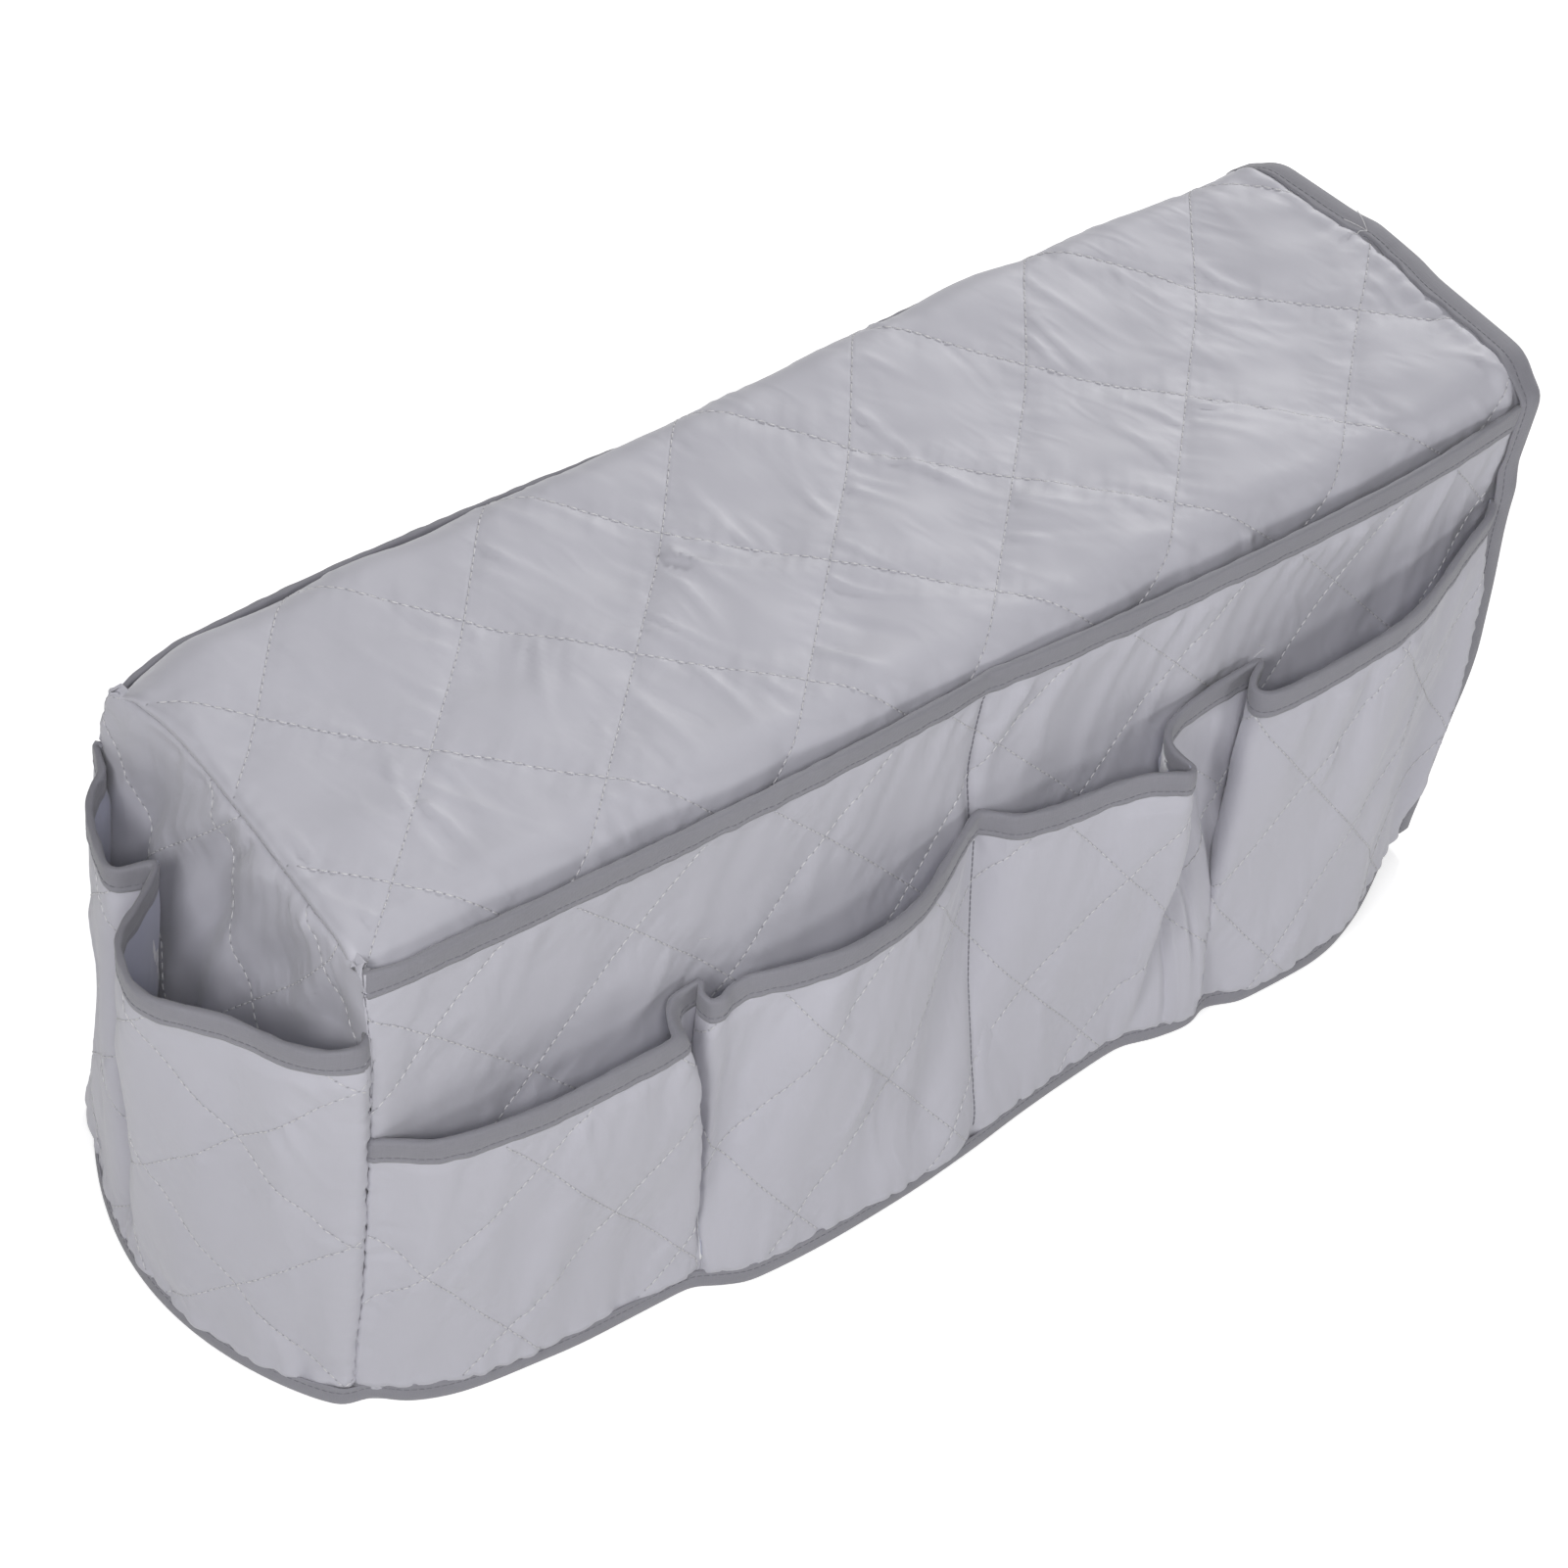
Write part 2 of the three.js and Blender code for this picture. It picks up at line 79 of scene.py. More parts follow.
def smooth_line(places: Array, values: Array, at: Array) -> Array:
    """Smooth curve through points that never overshoots between them.

    Args:
        places: rising places of the points.
        values: value at each point.
        at: places to read the curve at.

    Returns:
        The values there.
    """
    x = np.asarray(places, float)
    y = np.asarray(values, float)
    gap = np.diff(x)
    slope = np.diff(y) / gap
    same = slope[1:] * slope[:-1] > 0
    before = np.where(same, slope[:-1], 1.0)
    after = np.where(same, slope[1:], 1.0)
    heavy = 2 * gap[1:] + gap[:-1]
    light = gap[1:] + 2 * gap[:-1]
    inner = np.where(same, (heavy + light) / (heavy / before + light / after), 0.0)
    lean = np.concatenate([slope[:1], inner, slope[-1:]])
    at = np.clip(at, x[0], x[-1])
    cell = np.clip(np.searchsorted(x, at, side="right") - 1, 0, len(gap) - 1)
    t = (at - x[cell]) / gap[cell]
    start = (1 + 2 * t) * (1 - t) ** 2 * y[cell] + t * (1 - t) ** 2 * gap[cell] * lean[cell]
    end = t * t * (3 - 2 * t) * y[cell + 1] + t * t * (t - 1) * gap[cell] * lean[cell + 1]
    return start + end


def ease(value: Array, start: float, end: float) -> Array:
    """Soft step from 0 at start to 1 at end."""
    t = np.clip((value - start) / (end - start), 0, 1)
    return t * t * (3 - 2 * t)


def mix(a: Array, b: Array, share: Array) -> Array:
    """Point between a and b at a share of the way."""
    return a + (b - a) * share


def soft_max(a: Array, b: Array, blend: float) -> Array:
    """The larger of two values, rounded over a blend length where they cross."""
    return (a + b + np.sqrt((a - b) ** 2 + blend * blend)) / 2


def stretches(*parts: tuple[float, float, int]) -> Array:
    """Rising places in stretches, each with its start, its end and its number of places."""
    return np.unique(np.concatenate([np.linspace(*part) for part in parts]))


def graded(start: float, end: float, step: float, edge_step: float, edge: float) -> Array:
    """Places from start to end with a finer step near both ends.

    Args:
        start: first place.
        end: last place.
        step: usual step.
        edge_step: step near the ends.
        edge: how far the finer step reaches.

    Returns:
        The places.
    """
    fine = max(int(round(edge / edge_step)), 1) + 1
    middle = max(int(round((end - start - 2 * edge) / step)), 1) + 1
    return stretches((start, start + edge, fine), (start + edge, end - edge, middle), (end - edge, end, fine))


def rolled(distance: Array, reach: float, depth: float) -> Array:
    """How far cloth turns in towards a seam, at a distance from it."""
    near = 1 - np.clip(distance / reach, 0, 1)
    return depth * (1 - np.sqrt(1 - near * near))


def lowest_near(heights: Array, reach: int) -> Array:
    """Lowest height among the grid points around each one.

    Args:
        heights: rows and columns of heights.
        reach: how many points around.

    Returns:
        The heights.
    """
    low = heights.copy()
    for _ in range(reach):
        low[1:] = np.minimum(low[1:], low[:-1])
        low[:-1] = np.minimum(low[:-1], low[1:])
        low[:, 1:] = np.minimum(low[:, 1:], low[:, :-1])
        low[:, :-1] = np.minimum(low[:, :-1], low[:, 1:])
    return low


def unit(vectors: Array) -> Array:
    """Vectors brought to length 1."""
    return vectors / np.maximum(np.linalg.norm(vectors, axis=-1, keepdims=True), 1e-9)


def cusps(run: Array, step: float) -> Array:
    """Row of small rounded swells that meet in sharp notches."""
    return np.abs(np.sin(np.pi * run / step)) ** 0.7


def run_along(line: Array) -> Array:
    """Distance of each point of a line from its start."""
    return np.concatenate([[0], np.cumsum(np.linalg.norm(np.diff(line, axis=0), axis=1))])


def read_line(line: Array, run: Array, at: Array) -> Array:
    """Points of a line at distances along it."""
    return np.stack([np.interp(at, run, line[:, axis]) for axis in range(line.shape[1])], axis=1)


def resampled(line: Array, *others: Array) -> tuple[Array, ...]:
    """A line of points at even steps, with other values along it.

    Args:
        line: points of the line.
        others: values at each of its points.

    Returns:
        Distances along the line, the points there, and the other values there.
    """
    run = run_along(line)
    even = np.linspace(0, run[-1], int(run[-1] / TAPE_STEP))
    return even, read_line(line, run, even), *(np.interp(even, run, values) for values in others)


def smooth(values: Array, passes: int = 1) -> Array:
    """Draws values towards their neighbours along the first axis, in place.

    Args:
        values: the values.
        passes: how often it is done.

    Returns:
        The same array.
    """
    for _ in range(passes):
        values[1:-1] = (values[:-2] + 2 * values[1:-1] + values[2:]) / 4
    return values


def line_normals(line: Array, axis: int, way: int, passes: int) -> Array:
    """Smoothed normals of a flat line of points.

    Args:
        line: points of the line.
        axis: axis that tells the line's two sides apart in its middle.
        way: 1 or -1, the way that the normals point along that axis.
        passes: passes of smoothing.

    Returns:
        The normals.
    """
    step = np.gradient(line, axis=0)
    normals = unit(np.stack([-step[:, 1], step[:, 0]], axis=1))
    normals *= way * np.sign(normals[len(normals) // 2, axis])
    return smooth(normals, passes)


def add_object(name: str, data: bpy.types.ID) -> Piece:
    """New object with its data, linked into the scene.

    Args:
        name: name of the object.
        data: its mesh, light or camera.

    Returns:
        The object.
    """
    made = bpy.data.objects.new(name, data)
    bpy.context.scene.collection.objects.link(made)
    return made


def mesh_of(bm: bmesh.types.BMesh, name: str) -> bpy.types.Mesh:
    """New mesh from a bmesh, which is freed.

    Args:
        bm: the bmesh.
        name: name of the mesh.

    Returns:
        The mesh.
    """
    mesh = bpy.data.meshes.new(name)
    bm.to_mesh(mesh)
    bm.free()
    return mesh


@dataclass(frozen=True)
class Ripples:
    """Soft seeded waves over flat cloth, as a sum of plane waves."""

    seed: int
    across: float
    down: float
    count: int = 16

    def heights(self, u: Array, v: Array) -> Array:
        """Height of the waves at flat places, about 1 high.

        Args:
            u: places across.
            v: places down.

        Returns:
            The heights.
        """
        rng = np.random.default_rng(self.seed)
        total = np.zeros(np.broadcast(u, v).shape)
        for _ in range(self.count):
            turn_u, turn_v = rng.normal(0, 1, 2) / (self.across, self.down)
            total += np.sin(2 * np.pi * (turn_u * u + turn_v * v + rng.random()))
        return total * np.sqrt(2 / self.count)


REPEAT = 96.0
STITCHES_PER_SIDE = 17
LEAST_STRETCH = 0.75
HOLLOW_SHARE = 0.35
OTHER_SIDE = np.array((1, -1, 1))
FULL_TURN = 6.2832


@dataclass(frozen=True)
class QuiltPattern:
    """Two families of quilting lines at 45 degrees, and how the quilted cloth lies in a panel.

    Places on the quilted cloth are measured from a crossing, with crossings every REPEAT.
    The spacing is what gathered or stretched cloth makes of that in the panel's flat places.
    """

    crossing: tuple[float, float]
    spacing: tuple[float, float] = (REPEAT, REPEAT)
    turn: float = 0.0

    def cloth(self, u: Array, v: Array) -> Pair:
        """Places on the quilted cloth at a panel's flat places.

        Args:
            u: places across the panel.
            v: places down the panel.

        Returns:
            Places on the quilted cloth.
        """
        du, dv = u - self.crossing[0], v - self.crossing[1]
        across = (du * np.cos(self.turn) + dv * np.sin(self.turn)) * REPEAT / self.spacing[0]
        down = (dv * np.cos(self.turn) - du * np.sin(self.turn)) * REPEAT / self.spacing[1]
        return across, down

    def panel(self, across: Array, down: Array) -> Pair:
        """A panel's flat places at places on the quilted cloth.

        Args:
            across: places across the quilted cloth.
            down: places down it.

        Returns:
            The panel's places.
        """
        a, b = across * self.spacing[0] / REPEAT, down * self.spacing[1] / REPEAT
        u = self.crossing[0] + a * np.cos(self.turn) - b * np.sin(self.turn)
        v = self.crossing[1] + a * np.sin(self.turn) + b * np.cos(self.turn)
        return u, v

    def shares(self, u: Array, v: Array) -> Pair:
        """Both line counts at flat places: a whole number lies on a line."""
        across, down = self.cloth(u, v)
        return (across + down) / REPEAT, (across - down) / REPEAT

    def line_distance(self, u: Array, v: Array) -> Array:
        """Distance to the nearest line."""
        away = (np.abs(count - np.round(count)) for count in self.shares(u, v))
        return np.minimum(*away) * REPEAT / np.sqrt(2)


@dataclass(frozen=True)
class Wrinkles:
    """Ridges that start at the quilting lines and fade out across a diamond."""

    seed: int
    lean: float = 0.0
    count: int = 9
    height: float = 1.5
    width: tuple[float, float] = (1.4, 2.8)
    length: tuple[float, float] = (16.0, 44.0)
    spread: float = 0.3

    def heights(self, pattern: QuiltPattern, u: Array, v: Array) -> Array:
        """Height of the wrinkles at flat places.

        Args:
            pattern: the quilting that they start from.
            u: places across the cloth.
            v: places down the cloth.

        Returns:
            The heights, in mm.
        """
        across, down = pattern.cloth(u, v)
        rising, falling = pattern.shares(u, v)
        row, column = np.floor(rising).astype(int), np.floor(falling).astype(int)
        total = np.zeros(u.shape)
        for i, j in sorted(set(zip(row.ravel().tolist(), column.ravel().tolist()))):
            here = (row == i) & (column == j)
            du = across[here] - (i + j + 1) * REPEAT / 2
            dv = down[here] - (i - j) * REPEAT / 2
            total[here] = self.diamond(du, dv, (self.seed, i + 50, j + 50))
        return total

    def diamond(self, du: Array, dv: Array, seed: tuple[int, ...]) -> Array:
        """Wrinkles of one diamond, at places measured from its middle.

        Args:
            du: places across.
            dv: places down.
            seed: seed of this diamond.

        Returns:
            The heights.
        """
        rng = np.random.default_rng(seed)
        half = REPEAT / 2
        turn = self.lean + rng.normal(0, self.spread)
        strength = self.height * rng.uniform(0.55, 1.15)
        flip = rng.choice((-1, 1, 1))
        total = np.zeros(du.shape)
        for _ in range(self.count):
            angle = turn + rng.normal(0, 0.14)
            offset = half * rng.uniform(-0.8, 0.8)
            wide, long = rng.uniform(*self.width), rng.uniform(*self.length)
            size = strength * rng.uniform(0.35, 1.0) * rng.choice((-0.6, 1.0, 1.0))
            bend = rng.normal(0, 0.005)
            run = np.linspace(0, half * 1.5, 60)
            beyond = (np.abs(offset * np.cos(angle) - run * np.sin(angle))
                      + np.abs(offset * np.sin(angle) + run * np.cos(angle))) > half
            begin = run[np.argmax(beyond)]
            along = flip * (du * np.sin(angle) + dv * np.cos(angle)) + begin
            aside = flip * (du * np.cos(angle) - dv * np.sin(angle)) - offset + bend * along ** 2
            spread = wide * (0.75 + 0.4 * np.clip(along, 0, None) / long)
            fade = ease(along, -1, 5) * np.exp(-(np.clip(along, 0, None) / long) ** 2)
            total += size * fade * np.exp(-(aside / spread) ** 2)
        return total


@dataclass
class QuiltedPatch:
    """A flat patch of quilting, puffed up by cloth simulation between its stitched lines."""

    half_pitch: float = REPEAT / 2
    step: float = 3.0
    halves_across: int = 10
    halves_down: int = 6
    seed: int = 5
    start_noise: float = 0.3
    frames: int = 12
    heights: Array | None = None

    def simulate(self) -> None:
        """Runs the cloth and keeps the heights of the patch, in mm."""
        columns = int(self.halves_across * self.half_pitch / self.step)
        rows = int(self.halves_down * self.half_pitch / self.step)
        bm = bmesh.new()
        bmesh.ops.create_grid(bm, x_segments=columns, y_segments=rows, size=0.5)
        bmesh.ops.scale(bm, vec=(columns * self.step * MM, rows * self.step * MM, 1), verts=bm.verts)
        mesh = mesh_of(bm, "quilted_patch")
        patch = add_object("quilted_patch", mesh)
        points = np.zeros(len(mesh.vertices) * 3)
        mesh.vertices.foreach_get("co", points)
        points = points.reshape(rows + 1, columns + 1, 3)
        distance = QuiltPattern((0, 0)).line_distance(points[:, :, 0] / MM, points[:, :, 1] / MM)
        points[:, :, 2] = self.first_wrinkles(rows + 1, columns + 1) * np.clip(distance / 12, 0, 1) * MM
        mesh.vertices.foreach_set("co", points.ravel())
        sewn = patch.vertex_groups.new(name="sewn")
        sewn.add([int(i) for i in np.flatnonzero(distance < 0.5)], 1.0, "REPLACE")
        self.add_cloth(patch)
        for step in range(1, self.frames + 1):
            bpy.context.scene.frame_set(step)
        settled = patch.evaluated_get(bpy.context.evaluated_depsgraph_get()).to_mesh()
        result = np.zeros(points.size)
        settled.vertices.foreach_get("co", result)
        self.heights = result.reshape(points.shape)[:, :, 2] / MM
        bpy.context.scene.frame_set(1)
        bpy.data.objects.remove(patch)
        bpy.data.meshes.remove(mesh)

    def first_wrinkles(self, rows: int, columns: int) -> Array:
        """Seeded noise that the wrinkles grow from, finer across than down.

        Args:
            rows: rows of points.
            columns: columns of points.

        Returns:
            The heights, in mm.
        """
        rng = np.random.default_rng(self.seed)
        waves = np.fft.fft2(rng.normal(0, 1, (rows, columns)))
        down = np.fft.fftfreq(rows, self.step)[:, None] * 34
        across = np.fft.fftfreq(columns, self.step)[None, :] * 10
        noise = np.real(np.fft.ifft2(waves * np.exp(-4 * (down ** 2 + across ** 2))))
        return noise / noise.std() * self.start_noise

    @staticmethod
    def add_cloth(patch: Piece) -> None:
        """Gives the patch its cloth settings.

        Args:
            patch: the patch.
        """
        cloth = patch.modifiers.new("cloth", "CLOTH")
        for name, value in {
            "quality": 4, "mass": 0.15, "vertex_group_mass": "sewn", "tension_stiffness": 20,
            "compression_stiffness": 20, "shear_stiffness": 10, "tension_damping": 10,
            "compression_damping": 10, "bending_stiffness": 1.0, "shrink_min": -0.005,
            "use_pressure": True, "uniform_pressure_force": 0.12,
        }.items():
            setattr(cloth.settings, name, value)
        cloth.settings.effector_weights.gravity = 0
        cloth.collision_settings.use_collision = False
        cloth.collision_settings.use_self_collision = False

    def read(self, x: Array, y: Array) -> Array:
        """Height at places from the middle of the patch, on a smooth surface through its points.

        Args:
            x: places across.
            y: places down.

        Returns:
            The heights, in mm.
        """
        rows, columns = self.heights.shape
        gx = np.clip(x / self.step + (columns - 1) / 2, 1, columns - 2.001)
        gy = np.clip(y / self.step + (rows - 1) / 2, 1, rows - 2.001)
        ix, iy = np.floor(gx).astype(int), np.floor(gy).astype(int)

        def weights(t: Array) -> list[Array]:
            """Shares of the four points around a place."""
            return [
                -0.5 * t + t * t - 0.5 * t ** 3,
                1 - 2.5 * t * t + 1.5 * t ** 3,
                0.5 * t + 2 * t * t - 1.5 * t ** 3,
                -0.5 * t * t + 0.5 * t ** 3,
            ]

        across, down = weights(gx - ix), weights(gy - iy)
        total = np.zeros(np.shape(x))
        for row in range(4):
            for column in range(4):
                at_row = np.clip(iy + row - 1, 0, rows - 1)
                at_column = np.clip(ix + column - 1, 0, columns - 1)
                total += down[row] * across[column] * self.heights[at_row, at_column]
        return total


@dataclass
class Quilting:
    """Relief of quilted cloth: it sinks at the lines and puffs and wrinkles between them."""

    pattern: QuiltPattern
    patch: QuiltedPatch
    seed: int
    puff: float = 0.85
    sink: float = 0.5
    wrinkle: float = 0.3
    pucker: float = 0.2

    def diamond_places(self, u: Array, v: Array) -> Pair:
        """For each flat place, where it lies in the simulated patch.

        Each diamond of the cloth takes one of the patch's diamonds, which may be turned over.

        Args:
            u: places across the cloth.
            v: places down the cloth.

        Returns:
            Places from the middle of the patch.
        """
        rising, falling = self.pattern.shares(u, v)
        row, column = np.floor(rising).astype(int), np.floor(falling).astype(int)
        half = REPEAT / 2
        du = (rising - row + falling - column - 1) * half
        dv = (rising - row - falling + column) * half
        reach_x, reach_y = self.patch.halves_across // 2 - 1, self.patch.halves_down // 2 - 1
        middles = [(a, b) for a in range(-reach_x, reach_x + 1)
                   for b in range(-reach_y, reach_y + 1) if (a + b) % 2]
        rng = np.random.default_rng(self.seed)
        table = 64
        choice = rng.integers(0, len(middles), (table, table))[row % table, column % table]
        flips = rng.choice((-1, 1), (2, table, table))[:, row % table, column % table]
        middle = np.array(middles, float)[choice] * self.patch.half_pitch
        return middle[..., 0] + du * flips[0], middle[..., 1] + dv * flips[1]

    def heights(self, u: Array, v: Array) -> Array:
        """Relief at flat places, in mm, below 0 at the quilting lines.

        Args:
            u: places across the panel.
            v: places down the panel.

        Returns:
            The relief.
        """
        rising, falling = self.pattern.shares(u, v)
        dome = np.abs(np.sin(np.pi * rising) * np.sin(np.pi * falling))
        distance = self.pattern.line_distance(u, v)
        relief = self.puff * dome ** 0.55 - self.sink * np.exp(-distance / 4)
        relief += self.pucker * Ripples(self.seed + 7, 7, 7, 24).heights(u, v) * np.exp(-distance / 7)
        if self.patch.heights is not None:
            relief += self.wrinkle * self.patch.read(*self.diamond_places(u, v))
        return relief


@dataclass
class ClothGrid:
    """Cloth as rows and columns of points, with the flat cloth under them.

    Columns follow the across places. Rows are shares of each column's length down the cloth.
    The outside is the way that (down) x (across) points.
    """

    across: Array
    shares: Array
    lengths: Array
    points: Array
    start: float = 0.0
    normals: Array = field(default_factory=lambda: np.zeros(0))

    def __post_init__(self) -> None:
        """Works out the outward normals unless they are given."""
        if not self.normals.size:
            self.normals = unit(np.cross(*np.gradient(self.points, axis=(0, 1))))

    @property
    def flat(self) -> Pair:
        """Flat places across and down of every point."""
        v = self.start + self.shares[:, None] * self.lengths[None, :]
        return np.broadcast_to(self.across[None, :], v.shape), v

    def moved(self, distance: Array) -> "ClothGrid":
        """The same cloth moved along its outward normals."""
        return replace(self, points=self.points + self.normals * distance[..., None])

    def picked(self, rows: Array, columns: Array) -> "ClothGrid":
        """The same cloth with only some of its rows and columns."""
        pick = np.ix_(rows, columns)
        return ClothGrid(self.across[columns], self.shares[rows], self.lengths[columns],
                         self.points[pick], self.start, self.normals[pick])

    def trimmed(self, bare: tuple[float, float, float]) -> "ClothGrid":
        """The same cloth cut back.

        Args:
            bare: width cut off at its left, right and upper edge.

        Returns:
            The cloth that is left.
        """
        left, right, upper = bare
        inside = (self.across >= self.across[0] + left) & (self.across <= self.across[-1] - right)
        return self.picked(np.flatnonzero(self.shares * self.lengths.max() >= upper), np.flatnonzero(inside))

    def thinned(self) -> "ClothGrid":
        """The same cloth with every second row and column, its edges kept."""
        return self.picked(*(np.unique(np.append(np.arange(0, count, 2), count - 1))
                             for count in self.points.shape[:2]))

    def eased(self, passes: int) -> "ClothGrid":
        """The same cloth with its normals smoothed, so that inner layers turn corners without crossing.

        Args:
            passes: passes of smoothing.

        Returns:
            The cloth.
        """
        normals = self.normals.copy()
        for _ in range(passes):
            smooth(normals.swapaxes(0, 1))
            smooth(normals)
        return replace(self, normals=unit(normals))

    def mirrored(self) -> "ClothGrid":
        """The same cloth on the other long side.

        Returns:
            The cloth.
        """
        points, normals = (values[:, ::-1] * OTHER_SIDE for values in (self.points, self.normals))
        across = self.across[-1] + self.across[0] - self.across[::-1]
        return ClothGrid(across, self.shares, self.lengths[::-1], points, self.start, normals)

    def at(self, u: Array, v: Array) -> Pair:
        """Points and normals at flat places.

        Args:
            u: places across.
            v: places down.

        Returns:
            The points and the outward normals.
        """
        column = np.interp(u, self.across, np.arange(len(self.across)))
        length = np.interp(u, self.across, self.lengths)
        row = np.interp((v - self.start) / length, self.shares, np.arange(len(self.shares)))
        i = np.clip(np.floor(row).astype(int), 0, len(self.shares) - 2)
        j = np.clip(np.floor(column).astype(int), 0, len(self.across) - 2)
        s, t = (row - i)[..., None], (column - j)[..., None]

        def read(values: Array) -> Array:
            """Value between the four grid points around each place."""
            upper = mix(values[i, j], values[i, j + 1], t)
            lower = mix(values[i + 1, j], values[i + 1, j + 1], t)
            return mix(upper, lower, s)

        return read(self.points), unit(read(self.normals))


@dataclass(frozen=True)
class Settling:
    """How the whole cover settles: smooth shifts that move every layer and thread alike."""

    sides: tuple[float, ...] = (-90, -60, -20, 0, 23, 35, 49, 68, 88)
    open_shifts: tuple[float, ...] = (0.2, 2.7, 3.0, 5.2, 5.6, 2.0, -0.8, -4.6, -8.0)
    closed_shifts: tuple[float, ...] = (-2.4, -1.6, 0.4, 1.0, 1.5, 1.2, 0.2, -2.0, -4.0)
    curl: tuple[float, float, float] = (-13.0, 9.0, 7.0)
    places: tuple[float, ...] = (-265, -170, -35, 55, 145, 235, 325)
    back_shares: tuple[float, ...] = (0.45, 0.8, 0.85, 1.05, 1.3, 1.2, 0.5)
    back_shift: tuple[float, float] = (11.0, 5.0)
    open_rise: float = 6.0

    def place(self, points: Array) -> Array:
        """Settled places of points, in mm.

        Args:
            points: the points.

        Returns:
            The points, moved.
        """
        x, y, z = points[..., 0], points[..., 1], points[..., 2]
        high = ease(z, 90, 262)
        opened = smooth_line(self.sides, self.open_shifts, y) * ease(x, 200, 328) * high
        closed = smooth_line(self.sides, self.closed_shifts, y) * (1 - ease(x, -272, -190)) * high
        rounded = (1 - ease(x, -272, -232)) * ease(y, 45, 92) * ease(z, 130, 255)
        away = ease(np.abs(y), 40, 110)
        curled = ease(x, 225, 330) * (1 - ease(z, 0, 125)) * away
        back = smooth_line(self.places, self.back_shares, x) * ease(y, 20, 88) * ease(z, 130, 255)
        risen = self.open_rise * ease(x, 240, 328) * ease(z, 180, 262)
        moves = (opened + closed + self.curl[0] * curled + 0.4 * risen,
                 -5 * rounded - np.sign(y) * self.curl[1] * curled + self.back_shift[0] * back,
                 self.curl[2] * curled - 7 * rounded * ease(z, 225, 266) + self.back_shift[1] * back + risen)
        return points + np.stack(moves, axis=-1)


SETTLING = Settling()


def grid_object(name: str, points: Array, flat: Pair, thickness: float) -> Piece:
    """Cloth object from a grid of points, with its flat places as UV map.

    Args:
        name: name of the object.
        points: rows and columns of points, in mm.
        flat: flat places across and down of each point, in mm.
        thickness: thickness of the cloth, inwards from the points.

    Returns:
        The object.
    """
    rows, columns = points.shape[:2]
    bm = bmesh.new()
    bmesh.ops.create_grid(bm, x_segments=columns - 1, y_segments=rows - 1, size=0.5)
    bmesh.ops.reverse_faces(bm, faces=bm.faces)
    mesh = mesh_of(bm, name)
    mesh.vertices.foreach_set("co", (SETTLING.place(points) * MM).ravel())
    corners = np.zeros(len(mesh.loops), np.int32)
    mesh.loops.foreach_get("vertex_index", corners)
    flat_places = np.stack(np.broadcast_arrays(*flat), axis=-1).reshape(-1, 2) * MM
    uv = mesh.uv_layers.new(name="Cloth")
    uv.data.foreach_set("uv", flat_places[corners].ravel())
    mesh.shade_smooth()
    mesh.update()
    piece = add_object(name, mesh)
    wall = piece.modifiers.new("cloth thickness", "SOLIDIFY")
    wall.thickness = thickness * MM
    wall.offset = -1
    return piece


@dataclass(frozen=True)
class Layers:
    """Thickness of each layer of a quilted panel, outside first."""

    face: float
    wadding: float
    lining: float
    gap: float = 0.3

    @property
    def depth(self) -> float:
        """Thickness of the whole panel."""
        return self.face + self.wadding + self.lining + 2 * self.gap


@dataclass(frozen=True)
class CoverSizes:
    """Driving sizes of the whole product, as it stands open on a table."""

    start: float
    top_width: float = 170.0
    height: float = 266.0
    fold_radius: float = 18.0
    hem_lean: float = 7.0
    pocket_widths: tuple[float, ...] = (144.0, 144.0, 131.0, 175.0)
    cover: Layers = Layers(0.6, 2.6, 0.5)
    pocket: Layers = Layers(0.5, 1.2, 0.4)
    stack_gap: float = 0.8
    tape_width: float = 12.0
    tape_thickness: float = 0.5
    tape_reach: float = 0.8
    corner_bulge: float = 9.0
    corner_reach: float = 35.0
    flare_power: float = 1.66
    end_bulge: float = 39.0

    @property
    def length(self) -> float:
        """Length of the long sides."""
        return sum(self.pocket_widths)

    @property
    def centre(self) -> float:
        """Place of the seam between the middle pockets."""
        return sum(self.pocket_widths[:2])

    @property
    def half(self) -> float:
        """Half the width of the top."""
        return self.top_width / 2

    @property
    def band_start(self) -> float:
        """Place where the open end's binding starts."""
        return self.length - self.tape_width

    @property
    def band_drop(self) -> float:
        """Drop where the hem's binding starts."""
        return self.height - self.tape_width

    @property
    def hem_drop(self) -> float:
        """Drop of the cloth's raw edge, inside the hem's binding."""
        return self.height - self.tape_reach

    @property
    def pitch(self) -> float:
        """Step from one pocket's outside to the next one's."""
        return self.pocket.depth + self.stack_gap

    @property
    def lid(self) -> float:
        """How far the end panel stands before the cover's edge."""
        return self.cover.gap + self.cover.depth

    @property
    def end_base(self) -> float:
        """How far the end pocket stands before the cover's edge, at its sides."""
        return self.lid + self.pitch


